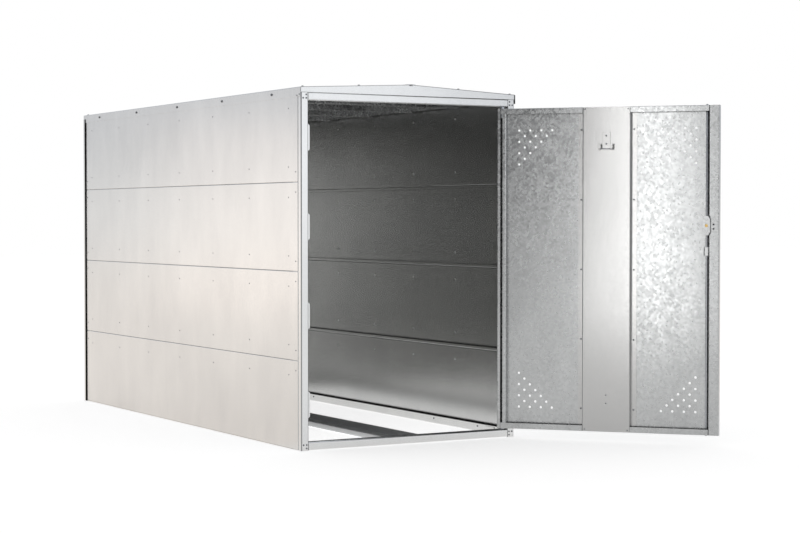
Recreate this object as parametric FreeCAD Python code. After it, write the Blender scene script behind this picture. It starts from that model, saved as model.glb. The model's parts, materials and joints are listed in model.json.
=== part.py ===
import FreeCAD, Part
import math
import os

from FreeCAD import Vector

# Bicycle locker in folded galvanised sheet, all sizes in millimetres.
# X runs right along the front, Y runs into the locker and Z is up.
# The origin is on the ground, at the middle of the frame's footprint.
# The door is drawn closed about its own pivot and is then swung open.

# Cabinet
FRAME_WIDTH = 850.0
FRAME_DEPTH = 2040.0
HEAD_TOP = 1202.0
SHEET = 1.5
FRAME_SHEET = 2.0
FOLD = 1.5

# Front frame
POST_FACE = 28.0
POST_SIDE = 60.0
POST_LIP = 12.0
POST_STRIP = 22.0
SILL_FACE = 29.0
HEADER_FACE = 27.0
BEAM_DEPTH = 32.0
BEAM_LIP = 9.0
REAR_LEG = 60.0

# Wall cassettes
PANEL_ROWS = 4
PANEL_FLANGE = 24.0
PANEL_LIP = 10.0
FLANGE_GAP = 2.0

# Roof
EAVE_RISE = 17.5
ROOF_RISE = 21.0
DRIP_HEIGHT = 32.5
DRIP_GAP = 0.3
RIDGE_FLANGE = 25.0
RIDGE_NOTCH = 30.0
ROOF_OVERHANG = 2.0
CAP_WIDTH = 36.0
GABLE_FLANGE = 20.0
BOW_COUNT = 5
BOW_FLANGE = 25.0
BOW_DROP = 14.0
BOW_LIP = 8.0
BOW_GAP = 0.3

# Base
RAIL_UPSTAND = 30.0
CHANNEL_WIDTH = 135.0
CHANNEL_WALL = 22.0
CHANNEL_ROLL = 6.0
CHANNEL_DROP = 10.0
ANCHOR_LENGTH = 60.0
ANCHOR_FOOT = 46.0
ANCHOR_HEIGHT = 26.0
ANCHOR_HOLE = 12.0
ANCHOR_INSET = 120.0

# Door leaf
LEAF_SETBACK = 3.0
LEAF_DEPTH = 25.0
HINGE_GAP = 2.5
FREE_GAP = 4.5
TOP_GAP = 7.0
BOTTOM_GAP = 5.0
HINGE_LIP = 12.0
FREE_LIP = 36.0
FREE_RETURN = 8.0
END_LIP = 20.0
DOOR_OPEN = 132.0
STOP_GAP = 0.5
STOP_HEIGHT = 95.0
STOP_WIDTH = 30.0
STOP_CORNER = 8.0

# Leaf stiffeners
STILE_SLOT = 8.0
STILE_FACE = 12.5
HAT_FACE = 167.0
HAT_FLANGE = 20.0

# Vents, in a triangle at each corner of the leaf
VENT_HOLE = 8.0
VENT_SIDES = 6
VENT_PITCH = 40.0
VENT_ROWS = 7
VENT_END = 77.0
VENT_HINGE_SIDE = 75.0
VENT_LOCK_SIDE = 84.0

# Pivots
PIVOT_EDGE = 14.0
PIVOT_DEPTH = 9.0
PIN_RADIUS = 4.0
PIN_CLEAR = 0.05
PIN_ENGAGE = 14.0
PIN_CHAMFER = 0.8
WASHER_RADIUS = 8.0
COLLAR_RADIUS = 5.5
COLLAR_HEIGHT = 10.0
SEAT_GAP = 0.3
BLOCK_CORNER = 2.5
TOP_BLOCK_HEIGHT = 30.0
BOTTOM_BLOCK_HEIGHT = 18.0

# Rod lock
ROD_RADIUS = 4.0
ROD_FROM_EDGE = 45.0
ROD_SLIDE_CLEAR = 0.5
ROD_SOCKET = 6.5
ROD_TOP_SHOW = 4.0
ROD_BOTTOM_SHOW = 3.0
ROD_CHAMFER = 1.3
LOCK_HEIGHT = 755.0
CAM_RADIUS = 16.0
CAM_THICK = 3.0
CAM_GAP = 2.0
CAM_PIN_RADIUS = 2.5
CAM_PIN_CIRCLE = 12.7
CAM_PIN_PROUD = 1.0
CAM_TURN = 90.0
SLOT_CLEAR = 0.5
ROD_PLATE = 3.0
PLATE_MARGIN = 3.0
ROD_END_GAP = 20.0
ARM_WIDTH = 9.0
COVER_HALF_WIDTH = 13.5
COVER_HALF_HEIGHT = 33.0
COVER_STRAIGHT = 20.0
COVER_NECK = 6.5
COVER_GAP = 2.5
STUD_RADIUS = 2.5
GUIDE_DROP = 88.0
GUIDE_LENGTH = 30.0
GUIDE_WIDTH = 18.0
GUIDE_CORNER = 3.0

# Outside handle
ESCUTCHEON_WIDTH = 36.0
ESCUTCHEON_HEIGHT = 110.0
ESCUTCHEON_THICK = 2.5
ESCUTCHEON_CORNER = 16.0
HUB_RADIUS = 15.0
HUB_HEIGHT = 15.0
LEVER_LENGTH = 108.0
LEVER_ROOT = 22.0
LEVER_TIP = 14.0
LEVER_THICK = 8.0
LEVER_CORNER = 6.0
LEVER_CHAMFER = 1.6
SPINDLE_RADIUS = 5.0
CYLINDER_RADIUS = 8.5
CYLINDER_PROUD = 1.0
PLUG_RADIUS = 5.5
PLUG_DEPTH = 12.0
KEY_SLOT = 2.0
KEY_HEIGHT = 7.6

# Coat hook
HOOK_HEIGHT = 62.0
HOOK_WIDTH = 28.0
HOOK_SHEET = 2.5
HOOK_REACH = 24.0
HOOK_SPREAD = 48.0
HOOK_TINE = 9.0
HOOK_RISE = 22.0
HOOK_DROP = 88.0
HOOK_CORNER = 4.5
HOOK_TINE_CORNER = 3.5
HOOK_RIVET_DROP = 12.0
HOOK_RIVET_PITCH = 29.0

# Fasteners
RIVET_RADIUS = 3.2
RIVET_CROWN = 1.9
RIVET_HEAD = 1.4
RIVET_SIDES = 8
RIVET_EDGE = 8.5
RIVET_PITCH = 11.5
LEAF_RIVETS = 5
LEAF_RIVET_END = 78.0
SCREW_SIDES = 6
SCREW_RADIUS = 5.0
SCREW_HEAD = 3.5
SCREW_PITCH = 410.0
SCREW_FIRST = 215.0
SIDE_SCREWS = 5
ROOF_SCREW_EDGE = 12.0

# How far a cutting tool runs past the face it enters
OVERCUT = 1.0

# Places worked out from the sizes above
HALF_WIDTH = FRAME_WIDTH / 2
FRONT = -FRAME_DEPTH / 2
BACK = FRAME_DEPTH / 2
HALF_OPENING = HALF_WIDTH - POST_FACE
HEADER_BOTTOM = HEAD_TOP - HEADER_FACE
POST_RETURN = LEAF_SETBACK + LEAF_DEPTH + STOP_GAP
PANEL_HEIGHT = (HEAD_TOP - FRAME_SHEET) / PANEL_ROWS
LINING = HALF_WIDTH + SHEET - PANEL_FLANGE
REAR_LINING = BACK + SHEET - PANEL_FLANGE
EAVE_TOP = HEAD_TOP + EAVE_RISE
RIDGE_TOP = EAVE_TOP + ROOF_RISE
EAVE_X = HALF_WIDTH + SHEET + DRIP_GAP + SHEET
ROOF_ANGLE = math.atan2(ROOF_RISE, EAVE_X)
ROOF_SKIN = SHEET / math.cos(ROOF_ANGLE)
RIDGE_BEND = SHEET + FOLD
RIDGE_CLEAR = RIDGE_TOP - ROOF_SKIN - RIDGE_BEND

PIVOT_X = HALF_OPENING - HINGE_GAP - PIVOT_EDGE
PIVOT_Y = FRONT + PIVOT_DEPTH
LEAF_RIGHT = PIVOT_EDGE
LEAF_LEFT = FREE_GAP - HALF_OPENING - PIVOT_X
LEAF_FRONT = LEAF_SETBACK - PIVOT_DEPTH
LEAF_INSIDE = LEAF_FRONT + SHEET
LEAF_BACK = LEAF_FRONT + LEAF_DEPTH
UNDER_LIP = LEAF_BACK - SHEET
LEAF_BOTTOM = SILL_FACE + BOTTOM_GAP
LEAF_TOP = HEADER_BOTTOM - TOP_GAP
LEAF_CENTRE = (LEAF_LEFT + LEAF_RIGHT) / 2
HOOK_TOP = LEAF_TOP - HOOK_DROP
STILE_FREE = LEAF_RIGHT - HINGE_LIP - STILE_SLOT
STILE_WALL = STILE_FREE - STILE_FACE

ROD_X = LEAF_LEFT + ROD_FROM_EDGE
ROD_Y = LEAF_FRONT + LEAF_DEPTH / 2
CAM_BACK = ROD_Y - ROD_PLATE / 2 - CAM_GAP
CAM_FRONT = CAM_BACK - CAM_THICK
PIN_OFFSET = CAM_PIN_CIRCLE * math.sin(math.radians(CAM_TURN / 2))
ROD_TRAVEL = 2 * PIN_OFFSET
ESCUTCHEON_FRONT = LEAF_FRONT - ESCUTCHEON_THICK
HUB_BACK = ESCUTCHEON_FRONT - SEAT_GAP
HUB_FRONT = HUB_BACK - HUB_HEIGHT


def box(x0, x1, y0, y1, z0, z1):
    """A block between two corners."""
    return Part.makeBox(x1 - x0, y1 - y0, z1 - z0, Vector(x0, y0, z0))


def rod(radius, start, end):
    """A round bar from one point to another."""
    way = end.sub(start)
    return Part.makeCylinder(radius, way.Length, start, way)


def prism(outline, run):
    """A closed outline of points pushed along a vector."""
    return Part.Face(Part.makePolygon(outline + outline[:1])).extrude(run)


def mirrored(shape, normal):
    """The shape's image in the plane through the origin."""
    return shape.mirror(Vector(0, 0, 0), normal)


def on_plan(a, b):
    return Vector(a, b, 0)


def across(a, b):
    return Vector(a, 0, b)


def lengthways(a, b):
    return Vector(0, a, b)


def fold_arcs(before, corner, after, thickness, radius):
    """One bend: the tangent points and middles of its two faces' arcs."""
    first = corner.sub(before).normalize()
    second = after.sub(corner).normalize()
    turn = first.x * second.y - first.y * second.x
    side = 1 if turn > 0 else -1
    face = radius + thickness if turn > 0 else radius
    angle = math.acos(max(-1.0, min(1.0, first.dot(second))))
    setback = face * math.tan(angle / 2)
    start = corner - first * setback
    end = corner + second * setback
    left_start = Vector(-first.y, first.x, 0)
    left_end = Vector(-second.y, second.x, 0)
    centre = start + left_start * (side * face)
    outward = (start - centre + end - centre).normalize()
    inner = face - side * thickness
    near = (start, centre + outward * face, end)
    far = (start + left_start * thickness, centre + outward * inner, end + left_end * thickness)
    return near, far


def folded(points, thickness, place, run, arcs=True):
    """Sheet folded along a line of points, its thickness to the left, with real bend radii.

    Without arcs each bend is one flat between the same two tangent lines.
    """
    line = [Vector(a, b, 0) for a, b in points]
    bends = [fold_arcs(*line[i - 1:i + 2], thickness, FOLD) for i in range(1, len(line) - 1)]
    first = line[1].sub(line[0]).normalize()
    last = line[-1].sub(line[-2]).normalize()
    start_cap = line[0] + Vector(-first.y, first.x, 0) * thickness
    end_cap = line[-1] + Vector(-last.y, last.x, 0) * thickness

    def to_space(point):
        return place(point.x, point.y)

    edges = []

    def straight(a, b):
        if a.distanceToPoint(b) > 1e-6:
            edges.append(Part.LineSegment(to_space(a), to_space(b)).toShape())

    def bend(a, middle, b):
        if arcs:
            edges.append(Part.Arc(to_space(a), to_space(middle), to_space(b)).toShape())
        else:
            straight(a, b)

    here = line[0]
    for near, far in bends:
        straight(here, near[0])
        bend(*near)
        here = near[2]
    straight(here, line[-1])
    straight(line[-1], end_cap)
    here = end_cap
    for near, far in reversed(bends):
        straight(here, far[2])
        bend(far[2], far[1], far[0])
        here = far[0]
    straight(here, start_cap)
    straight(start_cap, line[0])
    return Part.Face(Part.Wire(edges)).extrude(run)


def regular(sides, radius, level):
    """The closed outline of a regular polygon lying at a level."""
    turns = [2 * math.pi * i / sides for i in range(sides + 1)]
    return Part.makePolygon([Vector(radius * math.cos(a), radius * math.sin(a), level) for a in turns])


def standing(shape, place, outward):
    """Stands a shape drawn on the ground on a face that looks outward."""
    shape.Placement = FreeCAD.Placement(place, FreeCAD.Rotation(Vector(0, 0, 1), outward))
    return shape


def rivet(place, outward):
    """A low tapered head, drawn with few sides because it repeats."""
    rings = [regular(RIVET_SIDES, RIVET_RADIUS, 0), regular(RIVET_SIDES, RIVET_CROWN, RIVET_HEAD)]
    return standing(Part.makeLoft(rings, True, True), place, outward)


def hex_screw(place, outward):
    head = Part.Face(regular(SCREW_SIDES, SCREW_RADIUS, 0)).extrude(Vector(0, 0, SCREW_HEAD))
    return standing(head, place, outward)


def group(solids):
    return Part.makeCompound(solids)


def roof_top(x):
    """Height of the roof's upper face over a place across the locker."""
    return RIDGE_TOP - ROOF_RISE * abs(x) / EAVE_X


def roof_under(x):
    return roof_top(x) - ROOF_SKIN


# Front frame


def front_post():
    """The left post: side flange, face, return and lip, coped for the beams at both ends."""
    left = -HALF_WIDTH
    inner = left + POST_FACE
    back = FRONT + POST_RETURN
    path = [(left, FRONT + POST_SIDE), (left, FRONT), (inner, FRONT)]
    path += [(inner, back), (inner - POST_LIP, back)]
    post = folded(path, FRAME_SHEET, on_plan, Vector(0, 0, HEAD_TOP))
    for low, high in ((0, SILL_FACE), (HEADER_BOTTOM, HEAD_TOP)):
        cope = box(inner - POST_LIP, inner, FRONT + FRAME_SHEET, back, low, high)
        post = post.cut(cope)
    return post


def lapped(beam, low, high):
    """Adds the plates that lap behind the posts' faces, where the corner rivets go."""
    end = HALF_WIDTH - 2 * FRAME_SHEET
    start = PIVOT_X + COLLAR_RADIUS + SEAT_GAP
    y0 = FRONT + FRAME_SHEET
    for side in (-1, 1):
        ends = sorted((side * start, side * end))
        beam = beam.fuse(box(*ends, y0, y0 + FRAME_SHEET, low + FRAME_SHEET, high - FRAME_SHEET))
    return beam


def pierced(beam, level):
    """Holes for the pivot pin and for the lock rod, through a beam's flange."""
    pin = Vector(PIVOT_X, PIVOT_Y, level - FRAME_SHEET)
    bolt = Vector(PIVOT_X + ROD_X, PIVOT_Y + ROD_Y, level - FRAME_SHEET)
    up = Vector(0, 0, 2 * FRAME_SHEET)
    beam = beam.cut(rod(PIN_RADIUS + ROD_SLIDE_CLEAR, pin, pin + up))
    return beam.cut(rod(ROD_SOCKET, bolt, bolt + up))


def front_sill():
    """A C-channel on the ground, open to the back."""
    back = FRONT + BEAM_DEPTH
    path = [(back, SILL_FACE - BEAM_LIP), (back, SILL_FACE), (FRONT, SILL_FACE), (FRONT, 0), (back, 0)]
    channel = folded(path, FRAME_SHEET, lengthways, Vector(2 * HALF_OPENING, 0, 0), arcs=False)
    channel.translate(Vector(-HALF_OPENING, 0, 0))
    return pierced(lapped(channel, 0, SILL_FACE), SILL_FACE - FRAME_SHEET / 2)


def front_header():
    """The same channel over the door, with its lip on the lower flange."""
    back = FRONT + BEAM_DEPTH
    path = [(back, HEAD_TOP), (FRONT, HEAD_TOP), (FRONT, HEADER_BOTTOM)]
    path += [(back, HEADER_BOTTOM), (back, HEADER_BOTTOM + BEAM_LIP)]
    channel = folded(path, FRAME_SHEET, lengthways, Vector(2 * HALF_OPENING, 0, 0), arcs=False)
    channel.translate(Vector(-HALF_OPENING, 0, 0))
    return pierced(lapped(channel, HEADER_BOTTOM, HEAD_TOP), HEADER_BOTTOM + FRAME_SHEET / 2)


def door_stops():
    """Four plates on the lip of the left post, one at the middle of each row of panels."""
    stops = []
    inner = -HALF_OPENING
    back = FRONT + POST_RETURN
    for row in range(PANEL_ROWS):
        middle = FRAME_SHEET + PANEL_HEIGHT * (row + 0.5)
        low = middle - STOP_HEIGHT / 2
        high = middle + STOP_HEIGHT / 2
        left = inner - POST_LIP + FOLD
        right = left + STOP_WIDTH
        outline = [(left, low), (right - STOP_CORNER, low), (right, low + STOP_CORNER)]
        outline += [(right, high - STOP_CORNER), (right - STOP_CORNER, high), (left, high)]
        corners = [Vector(a, back, b) for a, b in outline]
        stops.append(prism(corners, Vector(0, FRAME_SHEET, 0)))
    return group(stops)


def corner_rivets():
    """Three rivets in an L at each corner of the front frame."""
    heads = []
    out = Vector(0, -1, 0)
    far = RIVET_EDGE + RIVET_PITCH
    for side in (-1, 1):
        for level, up in ((0, 1), (HEAD_TOP, -1)):
            for dx, dz in ((far, far), (RIVET_EDGE, far), (far, RIVET_EDGE)):
                place = Vector(side * (HALF_WIDTH - dx), FRONT, level + up * dz)
                heads.append(rivet(place, out))
    return group(heads)


# Walls


def cassette(length, start, notch):
    """A wall panel along Y: skin outside, flanges and lips inside, notched at its ends."""
    skin = -HALF_WIDTH - SHEET
    lip = skin + PANEL_FLANGE
    path = [(lip, PANEL_HEIGHT - PANEL_LIP), (lip, PANEL_HEIGHT), (skin, PANEL_HEIGHT)]
    path += [(skin, 0), (lip, 0), (lip, PANEL_LIP)]
    panel = folded(path, SHEET, across, Vector(0, length, 0), arcs=False)
    panel.translate(Vector(0, start, 0))
    for low, high in ((start, start + notch), (start + length - notch, start + length)):
        panel = panel.cut(box(-HALF_WIDTH, lip, low, high, 0, PANEL_HEIGHT))
    return panel


def side_panel(row):
    length = FRAME_DEPTH - 2 * POST_STRIP
    panel = cassette(length, FRONT + POST_STRIP, POST_SIDE - POST_STRIP + FLANGE_GAP)
    panel.translate(Vector(0, 0, FRAME_SHEET + PANEL_HEIGHT * row))
    return panel


def rear_panel(row):
    """The same cassette across the back, turned so that its skin faces outwards."""
    length = FRAME_WIDTH - 2 * POST_STRIP
    panel = cassette(length, -length / 2, REAR_LEG - POST_STRIP + FLANGE_GAP)
    panel.rotate(Vector(0, 0, 0), Vector(0, 0, 1), -90)
    panel.translate(Vector(0, BACK - HALF_WIDTH, FRAME_SHEET + PANEL_HEIGHT * row))
    return panel


def rear_post():
    left = -HALF_WIDTH
    path = [(left + REAR_LEG, BACK), (left, BACK), (left, BACK - REAR_LEG)]
    return folded(path, FRAME_SHEET, on_plan, Vector(0, 0, HEAD_TOP), arcs=False)


# Base


def side_rail():
    """Angle on the ground: the panels stand on its foot and lie against its upstand."""
    start = FRONT + POST_SIDE + FLANGE_GAP
    length = FRAME_DEPTH - POST_SIDE - REAR_LEG - 2 * FLANGE_GAP
    inner = -LINING + FRAME_SHEET
    path = [(-HALF_WIDTH, 0), (inner, 0), (inner, RAIL_UPSTAND)]
    rail = folded(path, FRAME_SHEET, across, Vector(0, length, 0), arcs=False)
    rail.translate(Vector(0, start, 0))
    return rail


def rear_rail():
    half = HALF_WIDTH - REAR_LEG - FLANGE_GAP
    inner = REAR_LINING - FRAME_SHEET
    path = [(inner, RAIL_UPSTAND), (inner, 0), (BACK, 0)]
    rail = folded(path, FRAME_SHEET, lengthways, Vector(2 * half, 0, 0), arcs=False)
    rail.translate(Vector(-half, 0, 0))
    return rail


def wheel_channel():
    """A guide for the wheels down the middle, its walls rolled over along the top."""
    side = CHANNEL_WIDTH / 2
    wall = side - CHANNEL_ROLL
    drop = CHANNEL_WALL - CHANNEL_DROP
    path = [(-side, drop), (-side, CHANNEL_WALL), (-wall, CHANNEL_WALL), (-wall, 0)]
    path += [(wall, 0), (wall, CHANNEL_WALL), (side, CHANNEL_WALL), (side, drop)]
    start = FRONT + BEAM_DEPTH
    length = REAR_LINING - FRAME_SHEET - start
    channel = folded(path, FRAME_SHEET, across, Vector(0, length, 0), arcs=False)
    channel.translate(Vector(0, start, 0))
    return channel


def anchor_places():
    """Centres of the holes that hold the locker down."""
    x = LINING - FRAME_SHEET - ANCHOR_FOOT / 2 - FRAME_SHEET / 2
    y = FRAME_DEPTH / 2 - ANCHOR_INSET
    return [(side * x, end * y) for end in (-1, 1) for side in (-1, 1)]


def anchor_brackets():
    """Angles inside the base rails, each with one hole down to the ground."""
    brackets = []
    face = LINING - FRAME_SHEET
    path = [(-face, ANCHOR_HEIGHT), (-face, 0), (-face + ANCHOR_FOOT, 0)]
    for x, y in anchor_places():
        angle = folded(path, FRAME_SHEET, across, Vector(0, ANCHOR_LENGTH, 0), arcs=False)
        if x > 0:
            angle = mirrored(angle, Vector(1, 0, 0))
        angle.translate(Vector(0, y - ANCHOR_LENGTH / 2, 0))
        hole = rod(ANCHOR_HOLE / 2, Vector(x, y, 0), Vector(x, y, FRAME_SHEET))
        brackets.append(angle.cut(hole))
    return group(brackets)


# Roof


def roof_sheet():
    """The left half: ridge flange, slope and drip flange in one folded sheet."""
    path = [(0, RIDGE_TOP - RIDGE_FLANGE), (0, RIDGE_TOP), (-EAVE_X, EAVE_TOP)]
    path += [(-EAVE_X, EAVE_TOP - DRIP_HEIGHT)]
    length = FRAME_DEPTH + 2 * ROOF_OVERHANG
    sheet = folded(path, SHEET, across, Vector(0, length, 0))
    sheet.translate(Vector(0, FRONT - ROOF_OVERHANG, 0))
    for start in (FRONT - ROOF_OVERHANG, BACK - RIDGE_NOTCH):
        end = start + RIDGE_NOTCH + ROOF_OVERHANG
        notch = box(-2 * SHEET, 0, start, end, RIDGE_TOP - RIDGE_FLANGE, RIDGE_CLEAR)
        sheet = sheet.cut(notch)
    return sheet


def ridge_cap():
    """A shallow cap over the joint of the two roof sheets."""
    half = CAP_WIDTH / 2
    lift = roof_top(0) - roof_top(half)
    path = [(half, RIDGE_TOP - lift), (0, RIDGE_TOP), (-half, RIDGE_TOP - lift)]
    outline = [Vector(a, 0, b) for a, b in path]
    outline += [Vector(a, 0, b + SHEET) for a, b in reversed(path)]
    cap = prism(outline, Vector(0, FRAME_DEPTH + 2 * ROOF_OVERHANG, 0))
    cap.translate(Vector(0, FRONT - ROOF_OVERHANG, 0))
    return cap


def gable():
    """The front gable: face, foot on the header and flanges under both slopes."""
    low = HEAD_TOP
    near = 2 * RIDGE_BEND
    peak = RIDGE_CLEAR - SEAT_GAP
    half = [(near, peak), (near, roof_under(near)), (HALF_WIDTH, roof_under(HALF_WIDTH)), (HALF_WIDTH, low)]
    outline = half + [(-a, b) for a, b in reversed(half)]
    plate = prism([Vector(a, FRONT, b) for a, b in outline], Vector(0, SHEET, 0))
    foot = box(-HALF_WIDTH, HALF_WIDTH, FRONT, FRONT + GABLE_FLANGE, low, low + SHEET)
    plate = plate.fuse(foot)
    for side in (-1, 1):
        slope = [(near, roof_under(near)), (HALF_WIDTH, roof_under(HALF_WIDTH))]
        slope += [(a, b - SHEET) for a, b in reversed(slope)]
        strip = prism([Vector(side * a, FRONT, b) for a, b in slope], Vector(0, GABLE_FLANGE, 0))
        plate = plate.fuse(strip)
    return plate.removeSplitter()


def eave_rail():
    """A low C between the wall's top and the roof, along the left side."""
    outer = -HALF_WIDTH
    inner = -LINING
    inset = GABLE_FLANGE + FLANGE_GAP
    path = [(inner, roof_under(inner)), (outer, roof_under(outer))]
    path += [(outer, HEAD_TOP), (inner, HEAD_TOP)]
    rail = folded(path, SHEET, across, Vector(0, FRAME_DEPTH - 2 * inset, 0), arcs=False)
    rail.translate(Vector(0, FRONT + inset, 0))
    return rail


def bow_place(number):
    return FRONT + FRAME_DEPTH * (number + 1) / (BOW_COUNT + 1)


def roof_bow(number):
    """A cross member under the roof, notched over the ridge flanges, its foot folded and lipped."""
    y = bow_place(number)
    half = LINING - BOW_GAP
    low = HEAD_TOP - BOW_DROP
    notch = 2 * SHEET
    valley = RIDGE_TOP - RIDGE_FLANGE - BOW_GAP
    outline = [(-half, low), (half, low), (half, roof_under(half) - BOW_GAP)]
    outline += [(notch, roof_under(notch) - BOW_GAP), (notch, valley)]
    outline += [(-notch, valley), (-notch, roof_under(notch) - BOW_GAP)]
    outline += [(-half, roof_under(half) - BOW_GAP)]
    web = prism([Vector(a, y, b) for a, b in outline], Vector(0, SHEET, 0))
    foot = box(-half, half, y, y + BOW_FLANGE, low, low + SHEET)
    lip = box(-half, half, y + BOW_FLANGE - SHEET, y + BOW_FLANGE, low, low + BOW_LIP)
    return web.fuse(foot).fuse(lip).removeSplitter()


def roof_screws():
    """Hexagon screws along both drip flanges and across the roof's front and rear edges."""
    screws = []
    level = EAVE_TOP - DRIP_HEIGHT / 2
    for side in (-1, 1):
        for i in range(SIDE_SCREWS):
            place = Vector(side * EAVE_X, FRONT + SCREW_FIRST + SCREW_PITCH * i, level)
            screws.append(hex_screw(place, Vector(side, 0, 0)))
        up = Vector(side * math.sin(ROOF_ANGLE), 0, math.cos(ROOF_ANGLE))
        for y in (FRONT + ROOF_SCREW_EDGE, BACK - ROOF_SCREW_EDGE):
            for x in (HALF_OPENING / 2, HALF_WIDTH - ROOF_SCREW_EDGE):
                place = Vector(side * x, y, roof_top(x))
                screws.append(hex_screw(place, up))
    return group(screws)


# Door leaf, drawn closed with its pivot axis on the local Z axis


def leaf_envelope():
    """The tray's outer form, with the same bends along its upright edges as the sheet."""
    block = box(LEAF_LEFT, LEAF_RIGHT, LEAF_FRONT, LEAF_BACK, LEAF_BOTTOM, LEAF_TOP)
    upright = [e for e in block.Edges if abs(e.Vertexes[0].Z - e.Vertexes[1].Z) > 1]
    return block.makeFillet(FOLD + SHEET, upright)


def vent_holes():
    """Four triangles of staggered holes, wide at the leaf's top and bottom edges."""
    holes = []
    step = VENT_PITCH / 2
    inward = Vector(0, 1, 0)
    for row in range(VENT_ROWS):
        shift = step * (row % 2)
        rise = VENT_END + step * row
        for i in range((VENT_ROWS - row + 1) // 2):
            inset = shift + VENT_PITCH * i
            for x in (LEAF_LEFT + VENT_LOCK_SIDE + inset, LEAF_RIGHT - VENT_HINGE_SIDE - inset):
                for z in (LEAF_TOP - rise, LEAF_BOTTOM + rise):
                    hole = Part.Face(regular(VENT_SIDES, VENT_HOLE / 2, 0))
                    hole = hole.extrude(Vector(0, 0, SHEET + 2 * OVERCUT))
                    holes.append(standing(hole, Vector(x, LEAF_FRONT - OVERCUT, z), inward))
    return group(holes)


def lock_outline(gap):
    """Half outline of the lock's cover, or of the notch around it, towards the free edge."""
    wide = COVER_HALF_WIDTH + gap
    neck = COVER_NECK + gap
    tall = COVER_HALF_HEIGHT + gap
    straight = COVER_STRAIGHT + gap / 2
    return [(-neck, -tall), (-wide, -straight), (-wide, straight), (-neck, tall)]


def door_leaf():
    """A tray: skin outside, lips inside, the wide free lip folded back towards the skin."""
    lip_end = LEAF_LEFT + FREE_LIP
    path = [(lip_end, LEAF_BACK - FREE_RETURN), (lip_end, LEAF_BACK), (LEAF_LEFT, LEAF_BACK)]
    path += [(LEAF_LEFT, LEAF_FRONT), (LEAF_RIGHT, LEAF_FRONT), (LEAF_RIGHT, LEAF_BACK)]
    path += [(LEAF_RIGHT - HINGE_LIP, LEAF_BACK)]
    tray = folded(path, SHEET, on_plan, Vector(0, 0, LEAF_TOP - LEAF_BOTTOM))
    tray.translate(Vector(0, 0, LEAF_BOTTOM))
    envelope = leaf_envelope()
    ends = []
    for edge, up in ((LEAF_TOP, -1), (LEAF_BOTTOM, 1)):
        flange = sorted((edge, edge + up * SHEET))
        lip = sorted((edge, edge + up * END_LIP))
        ends.append(envelope.common(box(LEAF_LEFT, LEAF_RIGHT, LEAF_FRONT, LEAF_BACK, *flange)))
        ends.append(envelope.common(box(LEAF_LEFT, LEAF_RIGHT, UNDER_LIP, LEAF_BACK, *lip)))
    leaf = tray.fuse(ends)
    cuts = [vent_holes()]
    notch = [Vector(ROD_X + a, 0, LOCK_HEIGHT + b) for a, b in lock_outline(COVER_GAP)]
    notch += [Vector(ROD_X, 0, notch[-1].z), Vector(ROD_X, 0, notch[0].z)]
    cuts.append(prism(notch, Vector(0, LEAF_BACK + OVERCUT, 0)))
    up = Vector(0, 0, SHEET + 2 * OVERCUT)
    for z in (LEAF_BOTTOM - OVERCUT, LEAF_TOP - SHEET - OVERCUT):
        pin = Vector(0, 0, z)
        bolt = Vector(ROD_X, ROD_Y, z)
        cuts.append(rod(PIN_RADIUS + PIN_CLEAR, pin, pin + up))
        cuts.append(rod(ROD_RADIUS + ROD_SLIDE_CLEAR, bolt, bolt + up))
    spindle = Vector(ROD_X, LEAF_FRONT - OVERCUT, LOCK_HEIGHT)
    through = Vector(0, SHEET + 2 * OVERCUT, 0)
    cuts.append(rod(SPINDLE_RADIUS + ROD_SLIDE_CLEAR, spindle, spindle + through))
    return leaf.cut(group(cuts)).removeSplitter()


def hinge_stile():
    """A C against the skin beside the pivots, leaving an open slot next to the hinge lip."""
    path = [(STILE_FREE, UNDER_LIP), (STILE_WALL, UNDER_LIP)]
    path += [(STILE_WALL, LEAF_INSIDE), (STILE_FREE, LEAF_INSIDE)]
    run = Vector(0, 0, LEAF_TOP - LEAF_BOTTOM - 2 * SHEET)
    stile = folded(path, SHEET, on_plan, run, arcs=False)
    stile.translate(Vector(0, 0, LEAF_BOTTOM + SHEET))
    return stile


def leaf_stiffener():
    """A wide hat up the middle of the leaf, its crown just under the end lips."""
    half = HAT_FACE / 2
    flange = half + HAT_FLANGE
    path = [(flange, LEAF_INSIDE), (half, LEAF_INSIDE), (half, UNDER_LIP - SHEET)]
    path += [(-half, UNDER_LIP - SHEET), (-half, LEAF_INSIDE), (-flange, LEAF_INSIDE)]
    path = [(LEAF_CENTRE - a, b) for a, b in path]
    run = Vector(0, 0, LEAF_TOP - LEAF_BOTTOM - 2 * SHEET)
    hat = folded(path, SHEET, on_plan, run, arcs=False)
    hat.translate(Vector(0, 0, LEAF_BOTTOM + SHEET))
    return hat


def leaf_rivets():
    """Rivet heads down both flanges of the hat and on the coat hook's plate."""
    heads = []
    out = Vector(0, 1, 0)
    flange = HAT_FACE / 2 + HAT_FLANGE / 2
    step = (LEAF_TOP - LEAF_BOTTOM - 2 * LEAF_RIVET_END) / (LEAF_RIVETS - 1)
    for side in (-1, 1):
        for i in range(LEAF_RIVETS):
            z = LEAF_BOTTOM + LEAF_RIVET_END + step * i
            place = Vector(LEAF_CENTRE + side * flange, LEAF_INSIDE + SHEET, z)
            heads.append(rivet(place, out))
    for drop in (HOOK_RIVET_DROP, HOOK_RIVET_DROP + HOOK_RIVET_PITCH):
        place = Vector(LEAF_CENTRE, UNDER_LIP + HOOK_SHEET, HOOK_TOP - drop)
        heads.append(rivet(place, out))
    return group(heads)


def upper_corners(shape, level):
    """The edges that run inwards along a plate's top corners."""
    return [e for e in shape.Edges if e.BoundBox.ZMin > level - 0.1 and e.BoundBox.XLength < 0.1]


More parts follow.
